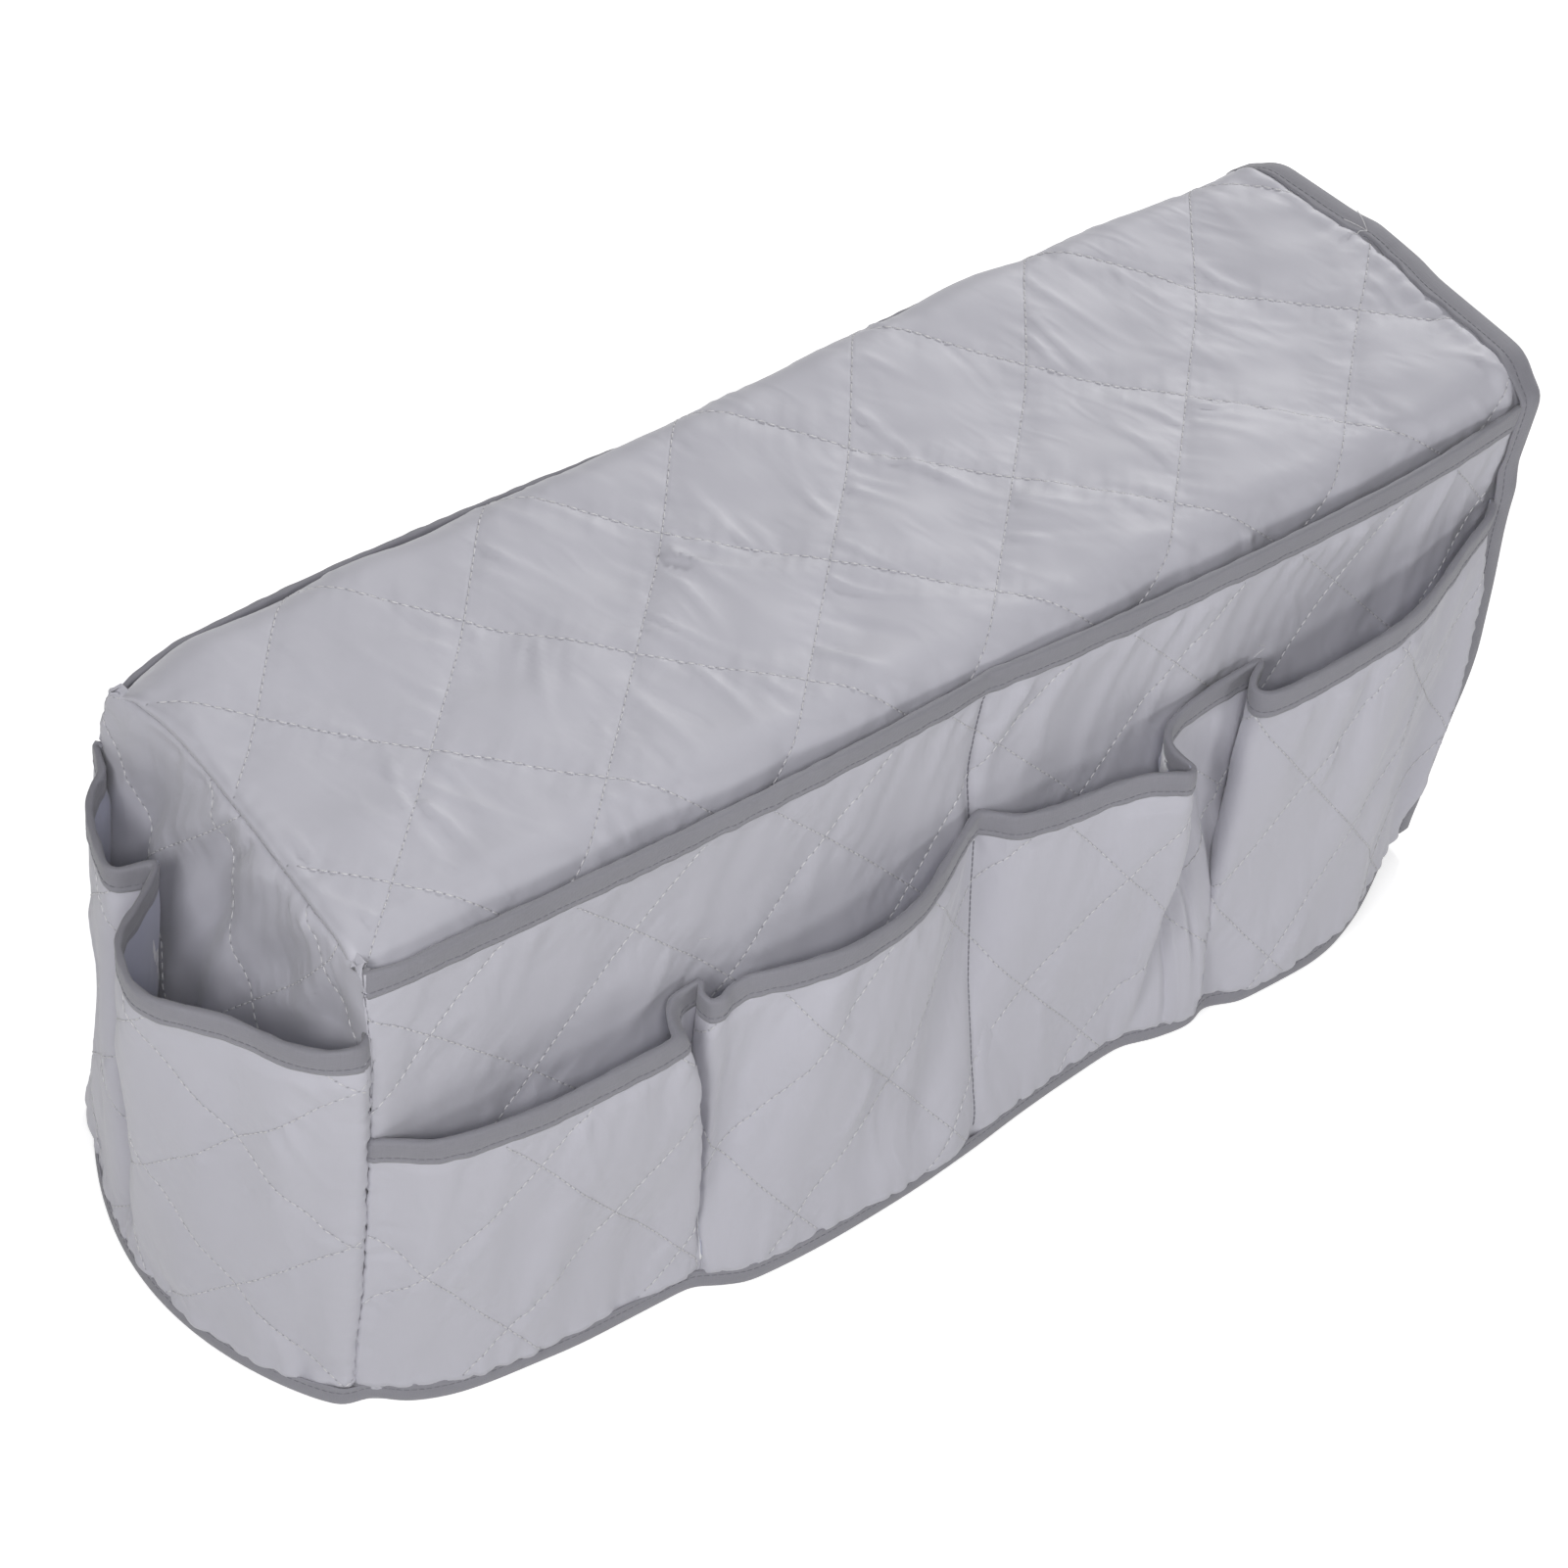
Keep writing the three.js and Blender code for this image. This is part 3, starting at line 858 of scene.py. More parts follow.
@dataclass(frozen=True)
class SideShape:
    """Stand-out of each layer of a long side from the fold at the top, for any place and drop."""

    sizes: CoverSizes
    hem_places: tuple[float, ...] = (
        0, 13, 36, 63, 91, 120, 142, 150, 167, 208, 246, 288, 318, 349, 379, 398, 417, 427, 447, 484,
        520, 554, 582)
    hem_outs: tuple[float, ...] = (
        14, 25, 33.5, 37.5, 40.5, 41.5, 42.5, 47, 54, 56, 55, 51.5, 47.7, 44.8, 43, 48, 50.5, 46.5, 53,
        54, 48, 38.6, 28)
    bends: tuple[float, ...] = (0, 18, 55, 115, 185, 254, 266)
    gapes: tuple[float, ...] = (7.5, 7.5, 7.5, 6, 7, 0, 0)
    pleat_places: tuple[float, ...] = (142, 424)
    pleat_reach: float = 20.0
    pleat_draw: float = 0.7

    def hem_out(self, place: Array) -> Array:
        """Stand-out of the outermost cloth at the hem."""
        return smooth_line(self.hem_places, self.hem_outs, place)

    def lean(self, drop: Array) -> Array:
        """How far the cloth leans towards the closed end."""
        return self.sizes.hem_lean * drop / self.sizes.height

    def cover_out(self, place: Array, drop: Array) -> Array:
        """Stand-out of the cover's outside.

        Args:
            place: places along the side.
            drop: drops from the top.

        Returns:
            The stand-out.
        """
        s = self.sizes
        shares = np.clip(np.array(self.bends) / s.band_drop, 0, 1) ** s.flare_power
        shares[:3] = 0
        hanging = (self.hem_out(place) - 2 * s.pitch) * smooth_line(self.bends, shares, drop)
        corner = s.corner_bulge * smooth_line((0, 18, 55, 266), (0, 0.33, 1, 1), drop)
        near = np.exp(-np.maximum(place, 0) / s.corner_reach) * (1 - ease(drop, 185, s.band_drop))
        return mix(hanging, corner, near)

    def lobe(self, place: Array) -> Array:
        """Share of the large pockets' gape: none at the seams."""
        centre, end = self.sizes.centre, self.sizes.band_start
        share = np.where(place < centre, place / centre, (place - centre) / (end - centre))
        return np.sin(np.pi * np.clip(share, 0, 1)) ** 0.6

    def large_out(self, place: Array, drop: Array, open_share: float = 1.0) -> Array:
        """Stand-out of the large pockets' outside, with their mouths more or less open.

        Args:
            place: places along the side.
            drop: drops from the top.
            open_share: how far the mouths are open.

        Returns:
            The stand-out.
        """
        s = self.sizes
        opening = mix(open_share, 1.0, ease(drop, 30, 80))
        gape = smooth_line(self.bends, self.gapes, drop) * self.lobe(place) * opening
        drawn = sum(np.exp(-((place - pleat) / self.pleat_reach) ** 2) for pleat in self.pleat_places)
        gape = gape * (1 - self.pleat_draw * np.clip(drawn, 0, 1) * ease(drop, 60, 100))
        return self.cover_out(place, drop) + s.cover.gap + s.pocket.depth + gape

    def large_mouth(self, place: Array) -> Array:
        """Drop of the large pockets' mouth."""
        return mix(5, 13, np.clip(place / self.sizes.band_start, 0, 1)) - 3 * self.lobe(place)

    def small_mouth(self, place: Array) -> Array:
        """Drop of the small pockets' mouth."""
        return mix(92, 60, np.clip(place / self.sizes.band_start, 0, 1) ** 1.6)

    def corner_seam(self, drop: Array, layer: int) -> Pair:
        """Seam line of the closed end's front corner.

        Args:
            drop: drops to give it at.
            layer: 0 for the panels next to the cover, 1 for the pockets over them.

        Returns:
            Points of the seam, and how the cloth turns in from there.
        """
        out = self.cover_out(np.zeros_like(drop), drop) + 3.0 + 2.4 * layer
        seam = self.point(np.full_like(drop, -4.5 - 2.6 * layer), drop, out)
        return seam, np.array((2.2, 2.8, 0.0)) * (1 + 0.5 * layer)

    def point(self, place: Array, drop: Array, out: Array) -> Array:
        """Point of the front side."""
        x = self.sizes.start + place - self.lean(drop)
        return np.stack(np.broadcast_arrays(x, -self.sizes.half - out, self.sizes.height - drop), axis=-1)


@dataclass(frozen=True)
class EndShape:
    """Stand-out of the closed end's layers beyond the cover's edge."""

    sizes: CoverSizes
    side: SideShape

    def half(self, drop: Array) -> Array:
        """Half the width of the end panel."""
        return self.sizes.half + self.side.cover_out(np.zeros_like(drop), drop)

    def panel_out(self, share: Array, drop: Array) -> Array:
        """Stand-out of the end panel at a share of its width."""
        hanging = np.clip(drop / self.sizes.band_drop, 0, 1) ** 1.3
        return self.sizes.lid + self.bulge(share) * hanging

    def hem_out(self, share: Array) -> Array:
        """Stand-out of the end pocket at the hem."""
        return self.sizes.end_base + self.bulge(share)

    def bulge(self, share: Array) -> Array:
        """Bulge of the closed end at the hem."""
        return self.sizes.end_bulge * np.sin(np.pi * np.clip(share, 0, 1)) ** 0.75

    def mouth(self, share: Array) -> Array:
        """Drop of the end pocket's mouth, from the back to the front."""
        return mix(50, 34, share)


@dataclass(frozen=True)
class StripSegment:
    """One stretch of a pocket strip between two sewn lines, seen from above.

    Each point holds its place and stand-out at the mouth and the place at the hem below it.
    """

    points: tuple[tuple[float, float, float], ...]
    slack_last: bool
    spread: float = 1.0
    flatten: float = 1.4

    def curve(self, hem_outs: Array, share: float) -> Array:
        """Dense curve of the strip at a share of the way from the mouth to the hem.

        Args:
            hem_outs: stand-out of the outline's points at the hem.
            share: share of the way from the mouth to the hem.

        Returns:
            Points of the curve.
        """
        outline = np.array(self.points, float)
        place = mix(outline[:, 0], outline[:, 2], share ** self.spread)
        plan = np.stack([place, mix(outline[:, 1], hem_outs, share ** self.flatten)], axis=1)
        chords = run_along(outline[:, :2])
        fine = np.linspace(0, chords[-1], 400)
        return np.stack([smooth_line(chords, plan[:, axis], fine) for axis in range(2)], axis=1)

    def length(self) -> float:
        """Length of the cloth along the mouth."""
        curve = self.curve(np.array(self.points)[:, 1], 0)
        return float(np.linalg.norm(np.diff(curve, axis=0), axis=1).sum())

    def row(self, across: Array, hem_outs: Array, share: float, fold: float = 2.5) -> Pair:
        """Plan places of cloth threads at one row, with the spare cloth folded in at the pleat.

        Args:
            across: places along the cloth, from 0 to its length.
            hem_outs: stand-out of the outline's points at the hem.
            share: share of the way from the mouth to the hem.
            fold: width that the folded cloth takes.

        Returns:
            The plan points, and how much of its width the cloth keeps at each of them.
        """
        curve = self.curve(hem_outs, share)
        run = run_along(curve)
        whole, room = across[-1], run[-1]
        place = across if self.slack_last else whole - across
        if room >= whole:
            taken = place * room / whole
            kept = np.ones_like(place)
        else:
            free = room - fold
            squeeze = fold / (whole - free)
            taken = np.where(place < free, place, free + (place - free) * squeeze)
            kept = np.where(place < free, 1.0, squeeze)
        taken = taken if self.slack_last else room - taken
        return read_line(curve, run, taken), kept


@dataclass
class Workshop:
    """What every panel shares: sizes, shapes and the simulated patch."""

    sizes: CoverSizes
    side: SideShape
    end: EndShape
    patch: QuiltedPatch


def declare(piece: Piece, node: str) -> None:
    """Lets a piece stand for its CAD node: hangs it from the root body and hides the node's part.

    Args:
        piece: the piece.
        node: the CAD node that it stands for.
    """
    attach(piece, "root")
    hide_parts(node)


def joined(points: Array, across: Array, seam: Array, turn: Array, last: bool,
           reach: float = 15.0, lip: float = 3.0) -> Array:
    """Draws a panel's first or last columns to a seam, where the cloth turns in.

    Args:
        points: rows and columns of points.
        across: place of each column along the cloth.
        seam: point of the seam for each row.
        turn: way that the cloth turns in.
        last: whether the last columns are sewn, instead of the first ones.
        reach: width of cloth that is drawn.
        lip: width of cloth that turns in.

    Returns:
        The points.
    """
    edge = across[-1] - across if last else across - across[0]
    column = int(np.argmin(np.abs(edge - lip)))
    shift = (seam - points[:, column])[:, None] * (1 - ease(edge, lip, reach))[None, :, None]
    tucked = seam[:, None] + turn * (1 - edge / lip)[None, :, None]
    return np.where((edge < lip)[None, :, None], tucked, points + shift)


@dataclass
class QuiltedPanel:
    """One panel of quilted cloth: face, wadding and lining, with its stitching.

    The inner layers stop short of the left, right and upper edge by the bare widths. Quilting
    stitches keep the shown widths from the left, right, upper and lower edge.
    """

    name: str
    shop: Workshop
    layers: Layers
    pattern: QuiltPattern
    seed: int
    held: str = "stretched"
    pieces: dict[str, Piece] = field(default_factory=dict)
    bare: tuple[float, float, float] = (6.0, 2.0, 0.0)
    shown: tuple[float, float, float, float] = (3.0, 13.0, 13.5, 13.0)
    mouth_squeeze: float = 0.0
    which: Side | None = None

    def base(self) -> ClothGrid:
        """Outer surface of the panel before its relief."""
        raise NotImplementedError

    def relief(self, grid: ClothGrid) -> Array:
        """Relief of the face, in mm along the outward normal."""
        raise NotImplementedError

    def centre_seam(self, grid: ClothGrid) -> float:
        """Cloth place of the seam between the middle pockets."""
        raise NotImplementedError

    def quilting(self) -> Quilting:
        """Quilting of this panel."""
        return Quilting(self.pattern, self.shop.patch, self.seed)

    def edge_distance(self, grid: ClothGrid) -> Array:
        """Distance to the nearer sewn edge, which at the open end is the tape's inner edge.

        Args:
            grid: the panel's cloth.

        Returns:
            The distances.
        """
        u = grid.flat[0]
        opened = self.shop.sizes.tape_width + 1.5
        first = u - grid.across[0] - opened * (self.which is Side.BACK)
        return np.minimum(first, grid.across[-1] - u - opened * (self.which is Side.FRONT))

    def on_side(self, grid: ClothGrid, place: float) -> float:
        """This side's cloth place for a place on the front side."""
        return grid.across[0] + grid.across[-1] - place if self.which is Side.BACK else place

    def drops(self, mouth: Array, rows: Array) -> Pair:
        """Length of each column from the mouth to the hem, and the drops of all points."""
        lengths = self.shop.sizes.hem_drop - mouth
        return lengths, mouth + rows[:, None] * lengths

    def squeezed(self, grid: ClothGrid) -> Array:
        """Share of its depth that the panel keeps under the tape of its mouth."""
        below = grid.flat[1] - grid.start - self.shop.sizes.tape_width
        return 1 - self.mouth_squeeze * (1 - ease(below, -2, 10))

    def build(self) -> None:
        grid = self.base()
        relief = self.relief(grid)
        inner, kept = grid.eased(6), self.squeezed(grid)
        depth = self.layers.face + 2 * self.layers.gap
        back_depth = self.layers.depth - self.layers.lining
        hollow = np.where(relief < 0, relief, -HOLLOW_SHARE * relief)
        self.size = self.flat_size(grid)
        self.face = grid.moved(relief)
        self.add("face", "cloth", self.face, self.layers.face, Slot.FACE)
        soft = inner.moved(lowest_near(relief, 3) - depth * kept).trimmed(self.bare).thinned()
        self.add("wadding", "fill", soft, self.layers.wadding * 0.5, Slot.WADDING)
        under = inner.moved(hollow - back_depth * kept).trimmed(self.bare).thinned()
        self.add("lining", "cloth", under, self.layers.lining, Slot.LINING)

    def flat_size(self, grid: ClothGrid) -> tuple[float, float]:
        """Width and length of the flat panel."""
        return float(grid.across[-1] - grid.across[0]), float(grid.lengths.max())

    def add(self, layer: str, kind: str, cloth: ClothGrid, thickness: float, slot: Slot) -> None:
        """Makes, declares and keeps one layer's piece.

        Args:
            layer: name of the layer.
            kind: last word of the piece's name.
            cloth: the layer's outside.
            thickness: thickness of the layer, inwards.
            slot: material slot of its finish; not used.
        """
        places = self.pattern.cloth(*cloth.flat)
        piece = grid_object(f"{self.name}_{layer}_{kind}", cloth.points, places, thickness)
        declare(piece, f"{self.name}_{layer}")
        self.pieces[layer] = piece
        log.info("%s_%s: %d points", self.name, layer, len(piece.data.vertices))

    def quilting_stitches(self) -> Triple:
        """Stitches of the quilting lines on the face.

        Returns:
            Middles, directions and normals.
        """
        thread, cloth = QUILTING_THREAD, self.face
        left, right, upper, lower = self.shown
        reach = float(np.hypot(*(np.ptp(places) for places in cloth.flat)))
        lines, count = int(reach / REPEAT) + 3, int(1.2 * reach / thread.pitch)
        k, along = [values.ravel() for values in np.meshgrid(
            np.arange(-lines, lines + 1), (np.arange(-count, count) + 0.5) * thread.pitch)]
        half = thread.length / 2 / np.sqrt(2)
        rows = []
        for family in (1, -1):
            a = k * REPEAT / 2 + along / np.sqrt(2)
            b = family * (k * REPEAT / 2 - along / np.sqrt(2))
            u, v = self.pattern.panel(a, b)
            foot = cloth.start + np.interp(u, cloth.across, cloth.lengths) - lower
            inside = (u > cloth.across[0] + left) & (u < cloth.across[-1] - right)
            inside &= (v > cloth.start + upper) & (v < foot)
            a, b, u, v = a[inside], b[inside], u[inside], v[inside]
            ahead, _ = cloth.at(*self.pattern.panel(a + half, b - family * half))
            behind, _ = cloth.at(*self.pattern.panel(a - half, b + family * half))
            middle, normal = cloth.at(u, v)
            sound = np.linalg.norm(ahead - behind, axis=1) / thread.length > LEAST_STRETCH
            rows.append((middle[sound], (ahead - behind)[sound], normal[sound]))
        return tuple(np.concatenate(part) for part in zip(*rows))

    def centre_stitches(self) -> Triple:
        """Stitches of the seam between the pockets, from the mouth's tape to the hem's.

        Returns:
            Middles, directions and normals.
        """
        place, tape = self.centre_seam(self.face), self.shop.sizes.tape_width
        foot = float(np.interp(place, self.face.across, self.face.lengths)) - tape
        run = np.arange(tape, foot)
        return SEAM_THREAD.along(*self.face.at(np.full(run.shape, place), run))


@dataclass
class Cover(QuiltedPanel):
    """The cover itself: one cloth over the top and down both long sides."""

    turn_in: float = 4.6
    fine_reach: float = 112.0
    shown: tuple[float, float, float, float] = (3.0, 13.0, 205.0, 205.0)

    def flat_fold(self) -> tuple[float, float]:
        """Flat distance from the middle of the top to the fold's start and to its end."""
        radius = self.shop.sizes.fold_radius
        return self.shop.sizes.half - radius, self.shop.sizes.half - radius + radius * np.pi / 2

    def place_of(self, down: Array) -> Pair:
        """Half width and drop of a flat distance from the middle of the top.

        Args:
            down: the flat distance.

        Returns:
            The half width and the drop.
        """
        s = self.shop.sizes
        start, end = self.flat_fold()
        turn = np.clip((down - start) / s.fold_radius, 0, np.pi / 2)
        half = np.minimum(down, start) + s.fold_radius * np.sin(turn)
        drop = s.fold_radius * (1 - np.cos(turn)) + np.maximum(down - end, 0)
        return half, drop

    def base(self) -> ClothGrid:
        """Rows run from the back hem over the top to the front hem."""
        s, side = self.shop.sizes, self.shop.side
        far = self.flat_fold()[1] + s.hem_drop - s.fold_radius
        hidden = np.linspace(self.fine_reach, far, int((far - self.fine_reach) / 8.5))
        fine = np.linspace(0, self.fine_reach, int(self.fine_reach / 2.1))[:-1]
        down = np.concatenate([fine, hidden])
        rows = np.concatenate([-down[::-1], down[1:]])
        across = graded(-self.turn_in, s.length, 2.25, 0.9, 5.4)
        half, drop = self.place_of(np.abs(rows))
        place, drop = np.meshgrid(across, drop)
        out = side.cover_out(np.clip(place, 0, s.band_start), drop)
        sign = np.sign(rows)[:, None]
        tucked = (1 - ease(place, -self.turn_in, 8)) * ease(drop, 5, 14)
        y = -sign * (half[:, None] + out - 2.5 * tucked)
        points = np.stack([s.start + place + 4 * tucked - side.lean(drop), y, s.height - drop], axis=-1)
        lengths = np.full(len(across), 2 * far)
        return ClothGrid(across, (rows + far) / (2 * far), lengths, points, -far)

    def relief(self, grid: ClothGrid) -> Array:
        """Quilting, soft creases and the turn into the seam at the closed end."""
        s = self.shop.sizes
        u, v = grid.flat
        height = self.quilting().heights(u, v)
        height += Wrinkles(self.seed + 1, lean=0.35).heights(self.pattern, u, v)
        height += 0.7 * Ripples(self.seed + 2, 120, 90).heights(u, v)
        seam = u + self.turn_in
        puckers = np.sin(2 * np.pi * v / 15 + 2 * Ripples(self.seed + 3, 60, 40).heights(u, v))
        height += 0.5 * puckers * np.exp(-seam / 7)
        height = height * ease(seam, -3, 8) - rolled(seam, 5, 4)
        band = s.band_start - u
        swell = 2.2 * cusps(v + 1.2 * Ripples(self.seed + 4, 90, 50).heights(u, v), 11.5)
        height = height * (1 - 0.4 * ease(-v, 45, 85))
        height = mix(-0.3, height + swell * np.exp(-np.abs(band - 3) / 5), ease(band, -0.5, 4))
        hem = s.hem_drop + self.flat_fold()[1] - s.fold_radius - np.abs(v)
        hidden = ease(np.abs(v), self.flat_fold()[1] + 8, self.fine_reach)
        return mix(height, -0.3 + 0 * height, hidden * (1 - 0.4 * ease(hem, 20, 60)))


@dataclass
class EndPanel(QuiltedPanel):
    """The panel that closes the end, sewn under the edge of the cover."""

    top_drop: float = 5.0
    crumple: float = 4.0
    flat_width: float = 200.0
    bare: tuple[float, float, float] = (7.0, 7.0, 6.0)
    shown: tuple[float, float, float, float] = (4.0, 4.0, 3.0, 12.0)

    def base(self) -> ClothGrid:
        """Columns run from the back to the front."""
        s, end = self.shop.sizes, self.shop.end
        shares = graded(0, 1, 2.6 / 190, 0.8 / 190, 4 / 190)
        drops = stretches((self.top_drop, 120, 46), (120, s.hem_drop, 30))
        share, drop = np.meshgrid(shares, drops)
        half = end.half(drop)
        corner = np.clip(s.fold_radius - drop, 0, None)
        inset = s.fold_radius - np.sqrt(np.clip(s.fold_radius ** 2 - corner ** 2, 0, None))
        y = mix(half - inset, -half + inset, share)
        x = s.start - self.shop.side.lean(drop) - end.panel_out(share, drop)
        points = np.stack([x, y, s.height - drop], axis=-1)
        seam, turn = self.shop.side.corner_seam(drops, 0)
        seam = seam + inset[:, :1] * (0, 0.5, 0.3)
        across = shares * self.flat_width
        points = joined(points, across, seam, turn, True)
        points = joined(points, across, seam * OTHER_SIDE, turn * OTHER_SIDE, False)
        length = s.hem_drop - self.top_drop
        return ClothGrid(across, (drops - self.top_drop) / length, np.full(len(shares), length), points)

    def relief(self, grid: ClothGrid) -> Array:
        """Quilting, gathers under the seam and tall soft folds."""
        u, v = grid.flat
        height = self.quilting().heights(u, v) * 0.8
        height += 1.5 * Ripples(self.seed + 1, 60, 260).heights(u, v) * ease(v, 0, 60)
        height += 0.8 * Ripples(self.seed + 2, 22, 50).heights(u, v) * np.exp(-v / 24)
        height += Wrinkles(self.seed + 3, lean=0.1, count=8).heights(self.pattern, u, v)
        run = (v - 6) * 0.55
        height += tuck(u - 108 + run, np.exp(-((v - 12) / 9) ** 2)) * 0.9
        width = self.flat_size(grid)[0]
        edge = np.minimum(u, width - u)
        crumpled = np.tanh(0.7 * Ripples(self.seed + 5, 110, 120, 8).heights(u, v + 0.5 * u))
        height += self.crumple * (crumpled * ease(edge, 6, 40))
        puckers = 0.5 * Ripples(self.seed + 4, 60, 9).heights(u, v) * np.exp(-edge / 6)
        return (height * ease(edge, 0, 10) + puckers) * ease(v, 0, 10) - rolled(v, 5, 3.4)


@dataclass
class LargePocket(QuiltedPanel):
    """The panel of the two large pockets of one long side."""

    which: Side = Side.FRONT
    mouth_squeeze: float = 0.35
    lowered: float = 13.0
    back_opening: float = 0.45

    def base(self) -> ClothGrid:
        """Columns run from the closed end to the open end."""
        s, side = self.shop.sizes, self.shop.side
        across = graded(-s.lid, s.length, 2.4, 0.9, 5.4)
        rows = stretches((0, 0.42, 50), (0.42, 1, 24))
        back = self.which is Side.BACK
        held = np.clip(across, 0, s.band_start)
        mouth = side.large_mouth(held) + self.lowered * back
        lengths, drop = self.drops(mouth, rows)
        out = side.large_out(held + 0 * drop, np.maximum(drop, mouth + s.tape_width),
                             self.back_opening if back else 1.0)
        out = out + s.tape_reach * (1 - ease(drop - mouth, s.tape_width, 40))
        points = side.point(across, drop, out)
        points = joined(points, across, *side.corner_seam(drop[:, 0], 0), False)
        grid = ClothGrid(across, rows, lengths, points)
        return grid.mirrored() if back else grid

    def relief(self, grid: ClothGrid) -> Array:
        """Quilting, gathers under the binding, and the pull of the centre seam."""
        s = self.shop.sizes
        u, v = grid.flat
        height = self.quilting().heights(u, v) * 0.8
        below = np.exp(-np.maximum(v - s.tape_width, 0) / 38)
        bunched = 0.4 + 0.9 * ease(u, 230, 330)
        height += bunched * Ripples(self.seed + 1, 32, 170).heights(u + 0.25 * v, v) * below
        creases = Wrinkles(self.seed + 2, lean=-0.25, count=5, height=1.2, width=(1.7, 3.6))
        height += creases.heights(self.pattern, u, v)
        height += 0.9 * Ripples(self.seed + 3, 90, 120).heights(u, v)
        seam = np.abs(u - self.centre_seam(grid))
        height = height - 2.0 * np.exp(-(seam / 2.5) ** 2) + 0.7 * np.exp(-((seam - 7) / 4) ** 2)
        edge = self.edge_distance(grid)
        puckers = 0.4 * Ripples(self.seed + 4, 60, 9).heights(u, v) * np.exp(-np.maximum(edge, 0) / 6)
        height = height * ease(edge, 0, 9) + puckers * ease(edge, -2, 1)
        height *= ease(v, s.tape_width, s.tape_width + 7)
        hem = grid.lengths - v
        return np.clip(height * ease(hem, 8, 20), -1.2, 3.4)

    def centre_seam(self, grid: ClothGrid) -> float:
        """Cloth place of the seam between the two pockets."""
        return self.on_side(grid, self.shop.sizes.centre)


def hem_swell(above: Array, run: Array, seed: int) -> Array:
    """Height of the cloth that swells out over the hem's tape, between small uneven notches."""
    uneven = run + 1.6 * Ripples(seed, 60, 1e6).heights(run, 0 * run)
    return (0.5 + 1.7 * cusps(uneven, 11.5)) * np.exp(-np.maximum(above, 0) / 6)


def tuck(aside: Array, strength: Array) -> Array:
    """A small fold that laps over to the right, with a sharp hollow beside it."""
    lap = 2.4 * np.exp(-((aside + 5) / 5) ** 2) * (aside < 0.4)
    return strength * (lap - 2.6 * np.exp(-((aside - 1.6) / 1.8) ** 2))


@dataclass
class PleatedPanel(QuiltedPanel):
    """A pocket panel of strips that are sewn down and pleated between their sewn lines."""

    held: str = "gathered"
    mouth_squeeze: float = 0.35
    segments: tuple[StripSegment, ...] = ()
    thread_step: float = 2.0

    def hem_at(self, place: Array) -> Array:
        """Stand-out of the hem at places."""
        raise NotImplementedError

    def laid(self, rows: Array) -> Triple:
        """Lays out the strips one after another.

        Args:
            rows: shares of the way from the mouth to the hem.

        Returns:
            Place of each column along the cloth, and the place and the stand-out of all points.
        """
        columns, strips, start = [], [], 0.0
        for part in self.segments:
            across = np.linspace(0, part.length(), int(part.length() / self.thread_step) + 1)
            hem_outs = self.hem_at(np.array(part.points)[:, 2])
            strip = np.array([np.column_stack(part.row(across, hem_outs, row)) for row in rows])
            skip = 1 if strips else 0
            strips.append(strip[:, skip:])
            columns.append(start + across[skip:])
            start += across[-1]
        place, out, self.kept = np.moveaxis(np.concatenate(strips, axis=1), 2, 0)
        return np.concatenate(columns), place, out


FRONT_STRIP = (
    StripSegment((
        (-4.6, 15.8, -4.6), (0, 16.5, 0), (5, 21, 6), (13.6, 27, 16), (36, 33.5, 43), (68, 37.5, 80),
        (93, 38, 112), (110, 38.5, 134), (118.6, 37.2, 143.5), (121.5, 30.5, 144), (124.5, 24.5, 144.2),
        (131, 20.5, 144.5), (142.6, 20, 145),
    ), True, spread=0.45),
    StripSegment((
        (142.6, 20, 145), (139, 25, 145.3), (139.5, 30.5, 145.8), (145, 32.3, 147.5), (152, 29.5, 150),
        (159, 29.3, 154), (168, 32, 162), (185, 37, 182), (206, 40.8, 205), (224, 40.2, 224),
        (240, 37, 241), (260, 28.2, 262), (281, 17.5, 282), (288, 14.2, 288),
    ), False),
    StripSegment((
        (288, 14.2, 288), (292, 18, 292.5), (300.5, 25.7, 301.5), (314, 30.3, 315.5), (329, 33.1, 332),
        (346, 36, 350), (357, 39, 362), (366, 44, 373), (374, 49, 382), (377.5, 46, 385.5),
        (376.5, 36, 390), (379, 28, 396), (386, 22.5, 401), (400, 19, 406), (416, 17.6, 411),
        (429, 17.4, 414.5), (438.5, 17.4, 416.5),
    ), True),
    StripSegment((
        (438.5, 17.4, 416.5), (429, 22.5, 417.2), (425, 28.5, 418), (427.5, 33.5, 419.5), (437, 36.6, 423),
        (464, 38, 441), (480, 38.2, 459), (497, 37.6, 478), (511, 35.9, 495), (522, 33, 509),
        (541, 26.1, 531), (556, 20.1, 549), (573, 14.5, 569), (582, 11.5, 582), (594, 11.5, 594),
    ), False),
)

END_STRIP = (
    StripSegment((
        (94, 8.9, 99), (88, 10.5, 92), (82, 13.5, 84), (78, 19.2, 77), (70, 26.7, 67), (59, 33.5, 55),
        (47, 38.5, 43), (36.5, 41.8, 32), (32, 39.8, 26), (29, 30.5, 20), (27.6, 25.5, 16),
    ), True),
    StripSegment((
        (27.6, 25.5, 16), (20, 34.4, 14), (13.2, 43.4, 11), (6.8, 52.8, 7), (0, 58.6, 2), (-10, 62.6, -7),
        (-21, 64.7, -18), (-29, 63.4, -27), (-39.4, 57.4, -38), (-48, 50.3, -48), (-57, 43.5, -58),
        (-68, 38, -69), (-79.3, 32.8, -80), (-88.3, 26.2, -89), (-95, 18.3, -95.5), (-96.6, 13, -97.5),
        (-95, 8.9, -99),
    ), False),
)


